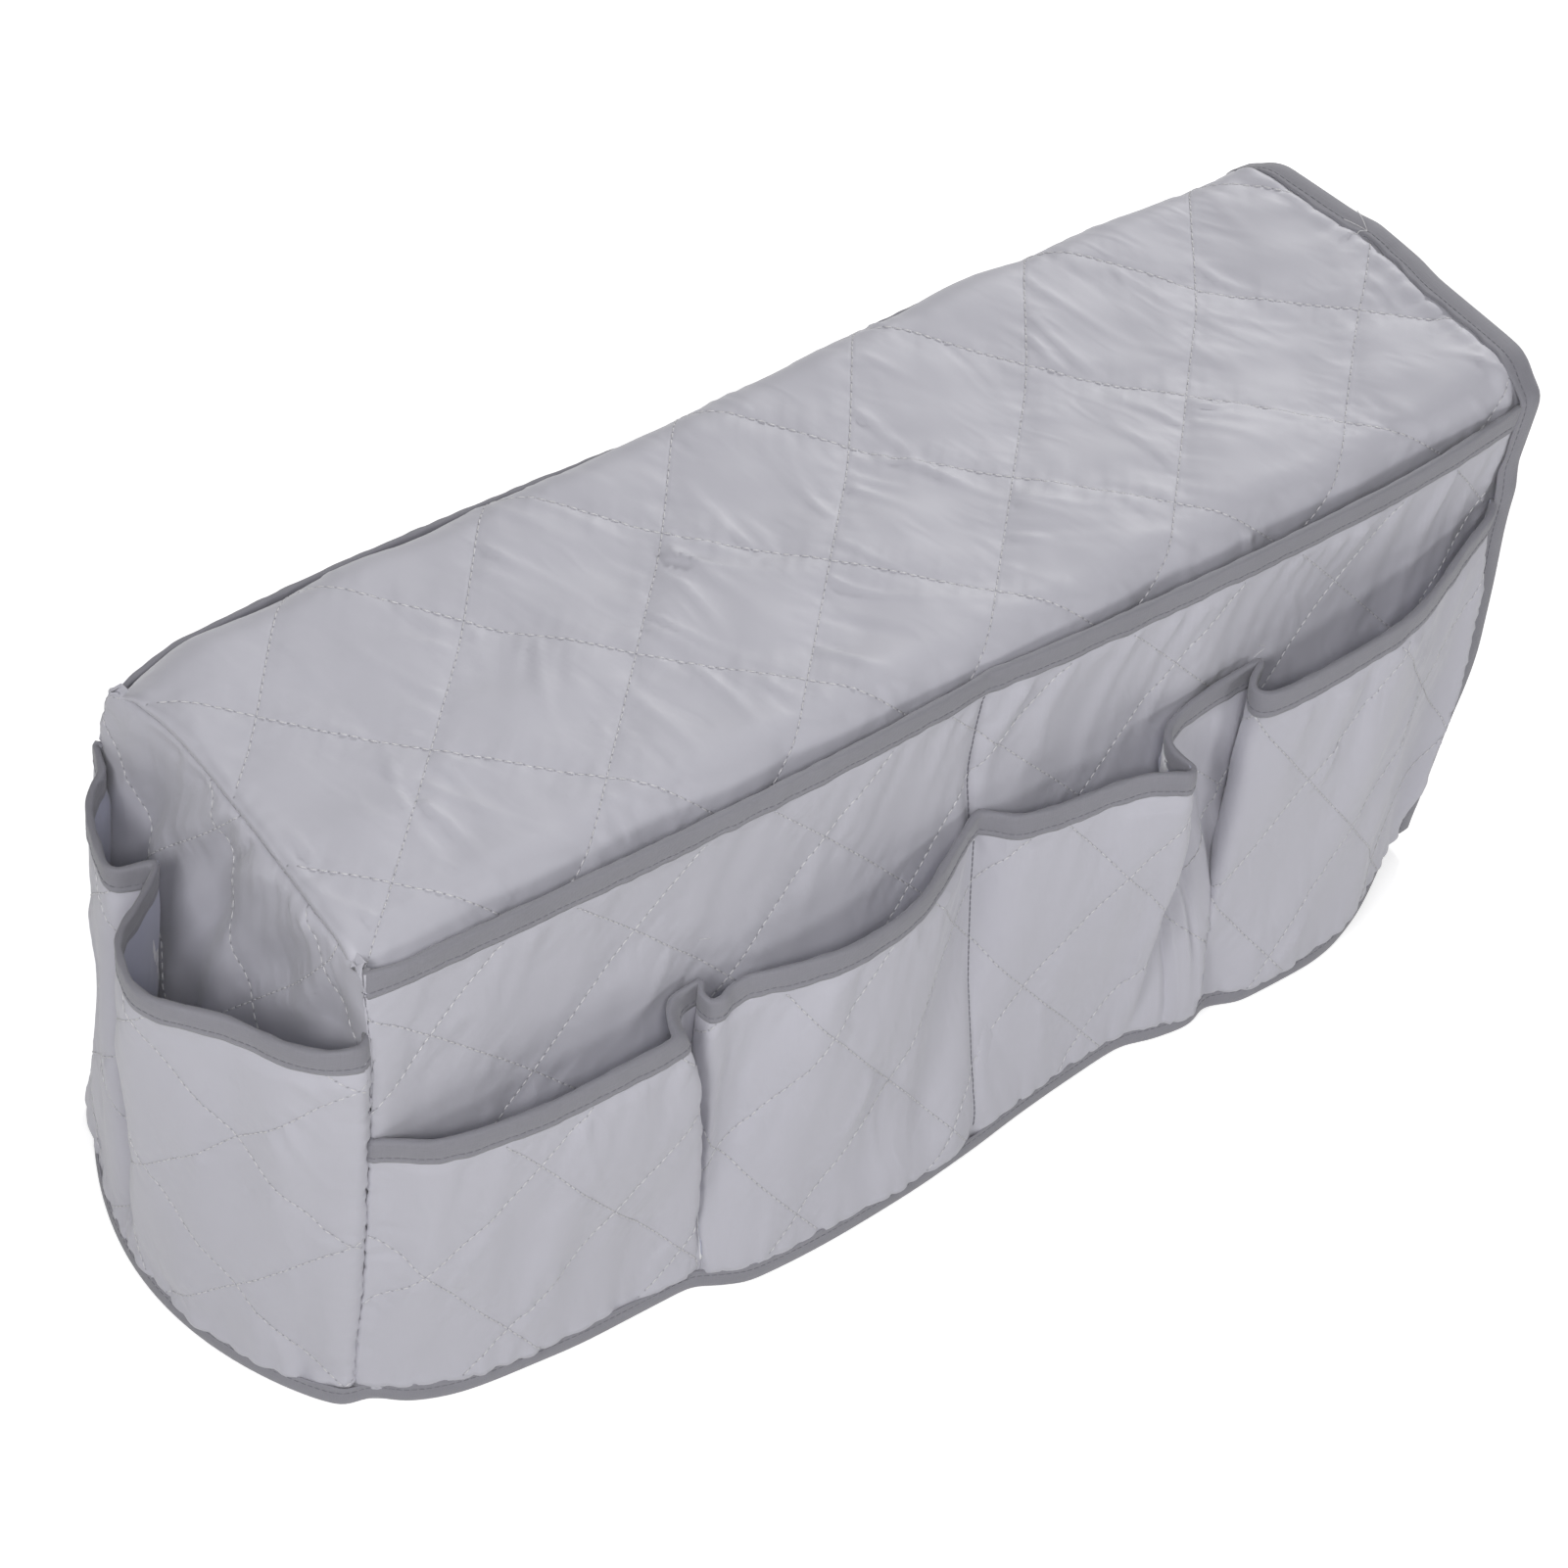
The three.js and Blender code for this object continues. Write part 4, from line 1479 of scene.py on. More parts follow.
@dataclass
class SmallPockets(PleatedPanel):
    """The pleated strip that makes the four small pockets of one long side."""

    which: Side = Side.FRONT
    segments: tuple[StripSegment, ...] = FRONT_STRIP
    fullness: float = 3.0
    open_swell: float = 6.0

    def hem_at(self, place: Array) -> Array:
        """Stand-out of the hem at places along the side."""
        return self.shop.side.hem_out(np.clip(place, 0, self.shop.sizes.band_start))

    def base(self) -> ClothGrid:
        """Columns run along the cloth, rows from the mouth to the hem."""
        s, side = self.shop.sizes, self.shop.side
        rows = stretches((0, 0.1, 9), (0.1, 0.93, 62), (0.93, 1, 8))
        across, place, out = self.laid(rows)
        mouth = side.small_mouth(place[0])
        lengths, drop = self.drops(mouth, rows)
        wall = side.large_out(np.clip(place, 0, s.band_start), drop) + s.pocket.gap + s.pocket.depth
        wall = wall + s.stack_gap * (1 - ease(rows[:, None], 0.1, 0.25))
        belly = self.fullness * np.sin(np.pi * rows[:, None] ** 0.8) * ease(out - wall, 2, 14)
        out = mix(soft_max(out + belly, wall, 1.0), wall, ease(place, s.band_start - 4, s.band_start + 1))
        over = np.exp(-(np.maximum(s.band_start - 3 - place, 0) / 10) ** 2)
        over = ease(s.band_start - place, -3, 4) * over
        over = over * ease(drop - mouth, s.tape_width, 45) * (1 - ease(drop, 222, s.band_drop - 2))
        out = mix(out, self.hem_at(place), ease(drop, s.band_drop - 25, s.band_drop))
        out = out + self.open_swell * (1 + 0.5 * ease(drop, 110, 190)) * over
        points = joined(side.point(place, drop, out), across, *side.corner_seam(drop[:, 0], 1), False)
        grid = ClothGrid(across, rows, lengths, points)
        if self.which is Side.BACK:
            self.kept = self.kept[:, ::-1]
            return grid.mirrored()
        return grid

    def relief(self, grid: ClothGrid) -> Array:
        """Quilting, gathers under the binding, seams and the scallops above the hem."""
        s = self.shop.sizes
        u, v = grid.flat
        height = self.quilting().heights(u, v) * 0.8
        below = np.exp(-np.maximum(v - s.tape_width, 0) / 40)
        height += 1.0 * Ripples(self.seed + 1, 24, 140).heights(u + 0.2 * v, v) * below
        height += Wrinkles(self.seed + 2, lean=-0.2, count=5, width=(1.7, 3.6)).heights(self.pattern, u, v)
        height += 1.3 * Ripples(self.seed + 3, 50, 190).heights(u + 0.15 * v, v)
        recess = self.on_side(grid, sum(part.length() for part in self.segments[:3]) - 50)
        bunched = np.exp(-((u - recess) / 34) ** 2) * ease(v, 30, 120)
        height += 2.2 * Ripples(self.seed + 6, 11, 400).heights(u, v) * bunched
        hem = grid.lengths - v
        height += hem_swell(hem - s.tape_width, u, self.seed + 4)
        edge = self.edge_distance(grid)
        puckers = 0.45 * Ripples(self.seed + 5, 60, 9).heights(u, v) * np.exp(-np.maximum(edge, 0) / 6)
        height = (height * ease(edge, 0, 9) + puckers * ease(edge, -2, 1)) * ease(self.kept, 0.2, 1)
        height = height * ease(v, s.tape_width, s.tape_width + 7) * ease(hem, 9, s.tape_width + 0.5)
        seam = np.abs(u - self.centre_seam(grid))
        height = height - 1.4 * np.exp(-(seam / 2.5) ** 2) * ease(v, 0, s.tape_width)
        return np.clip(height, -1.6, 4.2)

    def squeezed(self, grid: ClothGrid) -> Array:
        """The inner layers also lie close where the cloth is folded into a pleat."""
        return super().squeezed(grid) * mix(0.3, 1, ease(self.kept, 0.2, 1))

    def centre_seam(self, grid: ClothGrid) -> float:
        """Cloth place of the seam between the second and the third pocket."""
        return self.on_side(grid, self.segments[0].length() + self.segments[1].length())


@dataclass
class EndPocket(PleatedPanel):
    """The pleated pocket on the closed end."""

    segments: tuple[StripSegment, ...] = END_STRIP
    bare: tuple[float, float, float] = (7.0, 7.0, 0.0)
    shown: tuple[float, float, float, float] = (3.0, 3.0, 13.5, 13.0)
    tuck_place: float = 229.5
    hem_half: float = 99.0

    def hem_at(self, place: Array) -> Array:
        """Stand-out of the hem at sideways places."""
        return self.shop.end.hem_out((self.hem_half - place) / (2 * self.hem_half))

    def base(self) -> ClothGrid:
        """Columns run along the cloth from the back to the front."""
        s, side, end = self.shop.sizes, self.shop.side, self.shop.end
        rows = stretches((0, 0.08, 9), (0.08, 0.94, 76), (0.94, 1, 8))
        across, y, out = self.laid(rows)
        lengths, drop = self.drops(end.mouth((95 - y[0]) / 190), rows)
        half = end.half(drop)
        wall = end.panel_out((half - y) / (2 * half), drop) + s.pocket.depth + s.pocket.gap
        out = mix(soft_max(out, wall, 1.0), self.hem_at(y), ease(drop, s.band_drop - 25, s.band_drop))
        points = np.stack([s.start - side.lean(drop) - out, y, s.height - drop], axis=-1)
        points = joined(points, across, *side.corner_seam(drop[:, -1], 1), True)
        seam, turn = side.corner_seam(drop[:, 0], 1)
        points = joined(points, across, seam * OTHER_SIDE, turn * OTHER_SIDE, False)
        return ClothGrid(across, rows, lengths, points)

    def relief(self, grid: ClothGrid) -> Array:
        """Quilting, tall folds and the scallops above the hem."""
        s = self.shop.sizes
        u, v = grid.flat
        height = self.quilting().heights(u, v) * 0.8
        height += 1.3 * Ripples(self.seed + 1, 50, 260).heights(u, v)
        height += Wrinkles(self.seed + 2, lean=0.1, count=5, width=(2.0, 4.0)).heights(self.pattern, u, v)
        hem = grid.lengths - v
        height += hem_swell(hem - s.tape_width, u, self.seed + 4)
        height += tuck(u - self.tuck_place, 1 - ease(hem, 22, 42))
        edge = np.minimum(u - grid.across[0], grid.across[-1] - u)
        puckers = 0.45 * Ripples(self.seed + 5, 60, 9).heights(u, v) * np.exp(-edge / 6)
        height = (height * ease(edge, 1, 10) + puckers) * ease(self.kept, 0.2, 1)
        height = height * ease(v, s.tape_width, s.tape_width + 7) * ease(hem, 9, s.tape_width + 0.5)
        return np.clip(height, -2.2, 4.4)


def folded(outer: tuple[tuple[float, float], ...], fold: float) -> Array:
    """Rows of a folded tape's profile, from one edge over the fold to the other.

    Args:
        outer: place and height of the outer half's rows, from its edge to the fold.
        fold: place of the fold itself.

    Returns:
        For each row, its place, its height, and the share of the cloth's thickness below it.
    """
    rows = [(place, out, 0.0) for place, out in outer] + [(fold, 0.0, -0.5)]
    return np.array(rows + [(place, -out, -1.0) for place, out in reversed(outer)])


@dataclass
class Binding:
    """Tape folded over a raw edge of the cloth, with its line of stitches."""

    name: str
    seed: int

    def finish(self, points: Array, flat: Pair, sizes: CoverSizes, strip: float, carrier: str) -> None:
        """Args:
            points: rows and columns of the folded tape.
            flat: place of each column along the tape, and of each row across it.
            sizes: sizes of the cover.
            strip: width of the tape before it is folded; not used.
            carrier: the cloth that it is folded over; not used.
        """
        run, width = flat
        u, v = np.meshgrid(run, width[::-1])
        self.piece = grid_object(f"{self.name}_tape", points[::-1], (u, v), sizes.tape_thickness)
        declare(self.piece, self.name)
        log.info("%s: %d points", self.name, len(self.piece.data.vertices))


@dataclass
class MouthBinding(Binding):
    """Tape folded over the mouth of a pocket panel."""

    panel: QuiltedPanel
    step: float = 2.2
    profile: tuple[tuple[float, float], ...] = (
        (12.0, 0.35), (10.8, 0.62), (9.4, 0.6), (8.9, 0.38), (8.2, 0.58), (5.0, 0.66), (2.0, 0.7),
        (0.3, 0.6), (-0.35, 0.2))

    def build(self) -> None:
        grid = self.panel.base().eased(3)
        s = self.panel.shop.sizes
        depth = self.panel.layers.depth * (1 - self.panel.mouth_squeeze)
        first, last = grid.across[0], grid.across[-1]
        across = np.linspace(first, last, int((last - first) / self.step))
        covered = s.tape_width - 2.5
        if self.panel.which is Side.FRONT:
            across = across[across < last - covered]
        if self.panel.which is Side.BACK:
            across = across[across > first + covered]
        rows = folded(self.profile, -0.6)
        rows = np.stack([rows[:, 0], rows[:, 1] + rows[:, 2] * depth], axis=1)
        u, down = np.meshgrid(across, rows[:, 0])
        out = rows[:, 1:]
        edge = 1 + 0.02 * Ripples(self.seed, 26, 200).heights(u, 0 * u) * (down > 0)
        points, normals = grid.at(u, np.maximum(down, 0) * edge)
        top, _ = grid.at(u, 0 * u)
        lower, _ = grid.at(u, 0 * u + 6)
        up = (top - lower) / np.linalg.norm(top - lower, axis=-1, keepdims=True)
        swell = 0.25 * np.tanh(Ripples(self.seed + 1, 16, 30).heights(u, down)) * np.sign(out)
        points = points + normals * (out + swell)[..., None] + up * np.maximum(-down, 0)[..., None]
        width = run_along(rows)
        self.finish(points, (across, width), s, float(width[-1]), f"{self.panel.name}_face_cloth")
        self.stitch_line, self.stitch_normals = points[3], normals[3]


@dataclass
class OpenEndBinding(Binding):
    """Tape folded over the open end, from the front hem over the top to the back hem."""

    shop: Workshop
    splice: float = 23.0
    strip: float = 32.0
    profile: tuple[tuple[float, float], ...] = (
        (-12.0, 0.5), (-10.0, 0.7), (-8.4, 0.4), (-7.0, 0.8), (-4.0, 0.9), (-1.0, 0.7), (0.4, 0.0))

    def section_rows(self) -> Triple:
        """Front half of the edge, from the middle of the top down.

        Returns:
            Half width, drop and thickness of the stacked cloth.
        """
        s, side = self.shop.sizes, self.shop.side
        start = s.half - s.fold_radius
        flat = np.linspace(0, start, 26)
        turns = np.linspace(0, np.pi / 2, 12)[1:]
        drops = np.linspace(s.fold_radius, s.height - 1.0, 92)[1:]
        place = np.array(s.band_start)
        large, small = float(side.large_mouth(place)), float(side.small_mouth(place))
        extra = s.tape_reach + s.pocket.depth + s.pocket.gap + 0.8
        drop = np.concatenate([0 * flat, s.fold_radius * (1 - np.cos(turns)), drops])
        stack = extra * ease(drop, large - 8, large - 1) + s.pitch * ease(drop, small - 16, small + 1)
        out = side.cover_out(np.full_like(drops, place), drops)
        half = np.concatenate([flat, start + s.fold_radius * np.sin(turns), s.half + out]) + stack
        return half, drop, stack + s.cover.depth

    def build(self) -> None:
        s = self.shop.sizes
        half, drop, thick = self.section_rows()
        y = np.concatenate([half[::-1], -half[1:]])
        drop, thick = (np.concatenate([values[::-1], values[1:]]) for values in (drop, thick))
        run, line, thick, drop = resampled(np.stack([y, s.height - drop], axis=1), thick, drop)
        normal = line_normals(line, 1, 1, 6)
        smooth(thick, 6)
        rows = folded(self.profile, 0.9)
        wave = Ripples(self.seed, 20, 1).heights(run, 0 * run)
        place = s.length + rows[:, :1] + 0.6 * (rows[:, :1] < -9) * wave
        from_splice = run - run[int(np.argmin(np.abs(line[:, 0] - self.splice) + drop))]
        lapped = 0.7 * ease(from_splice, -0.5, 1.8) * (1 - ease(from_splice, 12, 16))
        reach = rows[:, 1:2] + rows[:, 2:] * thick + lapped * np.sign(rows[:, 1:2])
        points = np.stack([s.start + place - self.shop.side.lean(drop), line[:, 0] + normal[:, 0] * reach,
                           line[:, 1] + normal[:, 1] * reach], axis=-1)
        width = np.concatenate([[0], np.cumsum(np.abs(np.diff(rows[:, :2], axis=0)).sum(axis=1))])
        self.finish(points, (run, width), s, self.strip, "cover_face_cloth")
        self.stitch_line = points[2]
        self.stitch_normals = np.stack([0 * run, normal[:, 0], normal[:, 1]], axis=1)


@dataclass
class HemBinding(Binding):
    """Tape folded over the hem: along the front, round the closed end and back along the other side."""

    shop: Workshop
    strip: float = 36.0
    profile: tuple[tuple[float, float], ...] = (
        (12.0, 0.5), (10.0, 0.7), (8.4, 0.45), (7.0, 0.8), (4.0, 0.9), (1.6, 0.8), (0.4, 0.3), (0.0, -0.6))

    def plan(self) -> Pair:
        """Outermost line of the cloth at the hem, seen from above.

        Returns:
            The line, and the thickness of the stacked cloth along it.
        """
        s, side, end = self.shop.sizes, self.shop.side, self.shop.end
        places = np.linspace(s.band_start, 0, 260)
        shift = side.lean(np.array(s.band_drop))
        front = np.stack([s.start + places - shift, -s.half - side.hem_out(places)], axis=1)
        share = np.linspace(0, 1, 100)[1:-1]
        half = s.half + side.hem_out(np.array(0.0))
        cap = np.stack([s.start - shift - end.hem_out(share), mix(-half, half, share)], axis=1)
        line = np.concatenate([front, cap, front[::-1] * (1, -1)])
        thick = np.full(len(line), 2 * s.pitch + s.cover.depth)
        thick[len(front):-len(front)] = s.pitch + s.cover.depth
        _, line, thick = resampled(line, thick)
        return smooth(line, 4), smooth(thick, 4)

    def build(self) -> None:
        line, thick = self.plan()
        run = run_along(line)
        normal = unit(line_normals(line, 0, -1, 8))
        rows = folded(self.profile, 0.0)
        wave = Ripples(self.seed, 18, 1).heights(run, 0 * run)
        reach = rows[:, 1:2] + rows[:, 2:] * thick
        points = np.stack([line[:, 0] + normal[:, 0] * reach, line[:, 1] + normal[:, 1] * reach,
                           rows[:, :1] + 0.5 * (rows[:, :1] > 9) * wave], axis=-1)
        self.finish(points, (run, run_along(rows[:, :2])), self.shop.sizes, self.strip, "cover_face_cloth")
        self.stitch_line = points[2]
        self.stitch_normals = np.stack([normal[:, 0], normal[:, 1], 0 * run], axis=1)


@dataclass(frozen=True)
class Thread:
    """Sewing thread: the stretch of one stitch that shows, and how it is laid in rows."""

    length: float
    radius: float
    pitch: float
    lift: float = 0.4

    def sew(self, name: str, middles: Array, ways: Array, normals: Array, slot: Slot) -> Piece:
        """Rows of stitches as one piece.

        Args:
            name: name of the piece.
            middles: middle of each stitch, in mm.
            ways: direction of each stitch.
            normals: way out of the cloth at each stitch.
            slot: material slot of its finish; not used.

        Returns:
            The piece.
        """
        one, rows = bmesh.new(), bmesh.new()
        bmesh.ops.create_uvsphere(one, u_segments=6, v_segments=4, radius=1)
        shape = np.array([vert.co for vert in one.verts])
        stitch = mesh_of(one, "stitch")
        for _ in range(len(middles)):
            rows.from_mesh(stitch)
        mesh = mesh_of(rows, name)
        bpy.data.meshes.remove(stitch)
        ways = unit(ways)
        sides = unit(np.cross(normals, ways))
        points = (middles[:, None] + shape[None, :, 2:] * ways[:, None] * self.length / 2
                  + shape[None, :, :1] * sides[:, None] * self.radius
                  + (shape[None, :, 1:2] * 0.8 + self.lift) * normals[:, None] * self.radius)
        mesh.vertices.foreach_set("co", (SETTLING.place(points) * MM).ravel())
        mesh.shade_smooth()
        mesh.update()
        piece = add_object(name, mesh)
        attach(piece, "root")
        log.info("%s: %d stitches", name, len(middles))
        return piece

    def along(self, line: Array, normals: Array) -> Triple:
        """Stitches along a line of points.

        Args:
            line: points of the line.
            normals: way out of the cloth at each point.

        Returns:
            Middles, directions and normals.
        """
        run, half = run_along(line), self.length / 2
        places = np.arange(self.pitch, run[-1] - self.pitch, self.pitch)
        ways = read_line(line, run, places + half) - read_line(line, run, places - half)
        return read_line(line, run, places), ways, unit(read_line(normals, run, places))


QUILTING_THREAD = Thread(length=3.1, radius=0.34, pitch=REPEAT / np.sqrt(2) / STITCHES_PER_SIDE)
TOPSTITCH_THREAD = Thread(length=2.5, radius=0.26, pitch=3.1)
SEAM_THREAD = Thread(length=3.0, radius=0.42, pitch=3.0, lift=0.2)


def loose_ends(cloth: ClothGrid, band: OpenEndBinding) -> Piece:
    """Thread tails at the tape's splice and small bar tacks at the pleats, as one piece.

    Args:
        cloth: face of the large pockets, which the tacks are sewn into.
        band: the open end's tape.

    Returns:
        The piece.
    """
    thread = Thread(length=1.5, radius=0.2, pitch=0.6, lift=0.6)
    rng = np.random.default_rng(91)
    splice = int(np.argmin(np.abs(band.stitch_line[:, 1] - band.splice) - band.stitch_line[:, 2] / 50))
    rows = []
    for way in ((-6, 7, 5), (3, 9, 6), (-9, 2, 2)):
        share = np.linspace(0, 1, 40)[:, None]
        sway = 1.6 * np.sin(share * rng.uniform(5, 9)) * rng.normal(0, 1, 3)
        tail = band.stitch_line[splice] + share * np.array(way, float) + share * sway
        rows.append(thread.along(tail, np.tile((0.0, 0.0, 1.0), (40, 1))))
    for u, v, turn in ((444.6, 63.5, 0.5), (444.0, 67.0, -0.4), (150.0, 72.0, 0.4)):
        reach = np.linspace(-3.2, 3.2, 12)
        rows.append(thread.along(*cloth.at(u + reach * np.cos(turn), v + reach * np.sin(turn))))
    return thread.sew("loose_thread_ends", *(np.concatenate(part) for part in zip(*rows)), Slot.FACE)


class Network:
    """Shorthand for building shader nodes in one tree."""

    def __init__(self, tree: bpy.types.NodeTree) -> None:
        """Keeps the tree that the nodes go into."""
        self.tree = tree

    def put(self, socket: Socket, value: object) -> None:
        """Links a socket to another one, or sets its value.

        Args:
            socket: the socket.
            value: a value or another socket.
        """
        if isinstance(value, Socket):
            self.tree.links.new(value, socket)
        else:
            socket.default_value = value

    def node(self, kind: str, inputs: dict | None = None, **settings: object) -> bpy.types.Node:
        """Adds a node with its settings and inputs.

        Args:
            kind: type of the node.
            inputs: value or socket for each input.
            settings: the node's other settings.

        Returns:
            The node.
        """
        node = self.tree.nodes.new(kind)
        for name, value in settings.items():
            setattr(node, name, value)
        for name, value in (inputs or {}).items():
            self.put(node.inputs[name], value)
        return node

    def math(self, operation: str, *values: object) -> Socket:
        """Adds a math node and gives its result."""
        return self.node("ShaderNodeMath", dict(enumerate(values)), operation=operation).outputs[0]

    def ease(self, value: object, low: object, high: object, start: float = 0.0, end: float = 1.0) -> Socket:
        """Smooth step from start to end as a value goes from low to high."""
        levels = {"Value": value, "From Min": low, "From Max": high, "To Min": start, "To Max": end}
        return self.node("ShaderNodeMapRange", levels, interpolation_type="SMOOTHSTEP").outputs["Result"]

    def off_whole(self, count: object, size: float) -> Socket:
        """Distance of a count from the nearest whole number, times a size."""
        gap = self.math("ABSOLUTE", self.math("SUBTRACT", count, self.math("ROUND", count)))
        return self.math("MULTIPLY", gap, size)

    def tinted(self, colour: tuple[float, float, float], tone: object) -> Socket:
        """A colour times a tone."""
        grey = self.node("ShaderNodeCombineXYZ", {"X": tone, "Y": tone, "Z": tone}).outputs[0]
        return self.node("ShaderNodeVectorMath", {0: colour, 1: grey}, operation="MULTIPLY").outputs[0]

    def times(self, first: object, second: object) -> Socket:
        """Product of two values."""
        return self.math("MULTIPLY", first, second)

    def plus(self, first: object, second: object) -> Socket:
        """Sum of two values."""
        return self.math("ADD", first, second)


def new_material(name: str) -> tuple[bpy.types.Material, Network, bpy.types.Node]:
    """New material, the network of its nodes, and its Principled shader."""
    material = bpy.data.materials.new(name)
    material.use_nodes = True
    return material, Network(material.node_tree), material.node_tree.nodes["Principled BSDF"]


def node_group(name: str, inputs: dict[str, float], outputs: tuple[str, ...]) -> tuple:
    """New shader node group with plain number sockets.

    Args:
        name: name of the group.
        inputs: inputs and their first values.
        outputs: names of the outputs.

    Returns:
        The group, its network, and its input and output nodes.
    """
    group = bpy.data.node_groups.new(name, "ShaderNodeTree")
    for socket, value in inputs.items():
        made = group.interface.new_socket(socket, in_out="INPUT", socket_type="NodeSocketFloat")
        made.default_value = value
    for socket in outputs:
        group.interface.new_socket(socket, in_out="OUTPUT", socket_type="NodeSocketFloat")
    net = Network(group)
    return group, net, net.node("NodeGroupInput"), net.node("NodeGroupOutput")


def cloth_places(net: Network) -> tuple[Socket, Socket]:
    """Flat places of the cloth, in metres, from its UV map."""
    split = net.node("ShaderNodeSeparateXYZ", {0: net.node("ShaderNodeUVMap", uv_map="Cloth").outputs[0]})
    return split.outputs["X"], split.outputs["Y"]


def thread_noise(net: Network, across: object, down: object, scale: object, stretch: float,
                 detail: float = 2.0) -> Socket:
    """Noise drawn out along one way of the weave.

    Args:
        net: the network.
        across: place across.
        down: place down.
        scale: scale of the noise.
        stretch: how far it is drawn out.
        detail: detail of the noise.

    Returns:
        The noise.
    """
    place = net.node("ShaderNodeCombineXYZ", {
        "X": net.math("MULTIPLY", across, stretch), "Y": net.math("DIVIDE", down, stretch)})
    return net.node("ShaderNodeTexNoise", {
        "Vector": place.outputs[0], "Scale": scale, "Detail": detail}).outputs["Fac"]


def weave_group() -> bpy.types.NodeTree:
    """Plain weave: crossing threads of uneven thickness, as height and tone.

    Returns:
        The group.
    """
    group, net, entry, leave = node_group(
        "Plain weave", {"Thread pitch": 0.0005, "Unevenness": 0.5}, ("Height", "Tone"))
    u, v = cloth_places(net)
    pitch = entry.outputs["Thread pitch"]
    warp, weft = (net.math("SINE", net.math("DIVIDE", net.times(run, FULL_TURN), pitch)) for run in (u, v))
    scale = net.math("DIVIDE", 0.35, pitch)
    threads = net.plus(thread_noise(net, u, v, scale, 3.5), thread_noise(net, v, u, scale, 3.5))
    uneven = net.times(net.math("SUBTRACT", threads, 1.0), entry.outputs["Unevenness"])
    net.put(leave.inputs["Height"], net.plus(net.times(net.times(warp, weft), 0.5), net.times(uneven, 3.0)))
    net.put(leave.inputs["Tone"], uneven)
    return group


def wear_group() -> bpy.types.NodeTree:
    """Handling marks: faint cloudy tone and fine crumpling of the cloth.

    Returns:
        The group.
    """
    group, net, entry, leave = node_group(
        "Handled cloth", {"Crumple scale": 50.0, "Lean": 0.3}, ("Height", "Tone"))
    u, v = cloth_places(net)
    slanted = net.math("SUBTRACT", u, net.times(v, entry.outputs["Lean"]))
    cloudy = thread_noise(net, u, v, 9.0, 1.0, 3.0)
    crumple = thread_noise(net, slanted, v, entry.outputs["Crumple scale"], 1.6, 1.0)
    fold = net.math("ABSOLUTE", net.math("SUBTRACT", crumple, 0.5))
    patches = net.ease(thread_noise(net, u, v, 22.0, 1.0, 1.0), 0.42, 0.62)
    net.put(leave.inputs["Height"], net.times(patches, net.math("SUBTRACT", 1.0, net.ease(fold, 0.0, 0.2))))
    net.put(leave.inputs["Tone"], net.math("SUBTRACT", cloudy, 0.5))
    return group


def both_ways(net: Network) -> list[tuple[Socket, ...]]:
    """For both families of quilting lines: place across them, place along them, distance from them."""
    u, v = cloth_places(net)
    rise, fall = net.plus(u, v), net.math("SUBTRACT", u, v)
    pitch = REPEAT * MM
    return [(across, along, net.off_whole(net.math("DIVIDE", across, pitch), pitch / np.sqrt(2)))
            for across, along in ((rise, fall), (fall, rise))]


def stitched_group() -> bpy.types.NodeTree:
    """Quilting lines on the flat cloth: the groove along them, and a mask of painted shade in the dent at
    each needle hole.

    Returns:
        The group.
    """
    # painted shade: the second input is the reach of the darkened spot round each needle hole, and the second
    # output is its mask
    group, net, entry, leave = node_group(
        "Quilting lines", {"Groove": 0.0016, "Hole shade": 0.0007}, ("Height", "Hole shade"))
    grooves, hole_shades = [], []
    for _, along, gap in both_ways(net):
        run = net.math("DIVIDE", net.math("DIVIDE", along, np.sqrt(2)), QUILTING_THREAD.pitch * MM)
        near_hole = net.off_whole(run, QUILTING_THREAD.pitch * MM)
        grooves.append(net.ease(gap, 0.0, entry.outputs["Groove"]))
        spot = net.math("SQRT", net.plus(net.times(gap, gap), net.times(near_hole, near_hole)))
        # painted shade: a mask that darkens the cloth in a small spot round each needle hole
        hole_shades.append(net.ease(spot, entry.outputs["Hole shade"], 0.0))
    net.put(leave.inputs["Height"], net.math("MINIMUM", *grooves))
    net.put(leave.inputs["Hole shade"], net.math("MAXIMUM", *hole_shades))
    return group


def pucker_group() -> bpy.types.NodeTree:
    """Short puckers that cross the quilting lines and fade beside them.

    Returns:
        The group.
    """
    group, net, entry, leave = node_group("Seam puckers", {"Reach": 0.024, "Stretch": 0.24}, ("Height",))
    heights = []
    for across, along, gap in both_ways(net):
        drawn = net.times(across, entry.outputs["Stretch"])
        place = net.node("ShaderNodeCombineXYZ", {"X": along, "Y": drawn})
        noise = net.node("ShaderNodeTexNoise", {
            "Vector": place.outputs[0], "Scale": 62.0, "Detail": 1.0}).outputs["Fac"]
        heights.append(net.times(net.ease(noise, 0.32, 0.68), net.ease(gap, entry.outputs["Reach"], 0.0)))
    net.put(leave.inputs["Height"], net.plus(*heights))
    return group


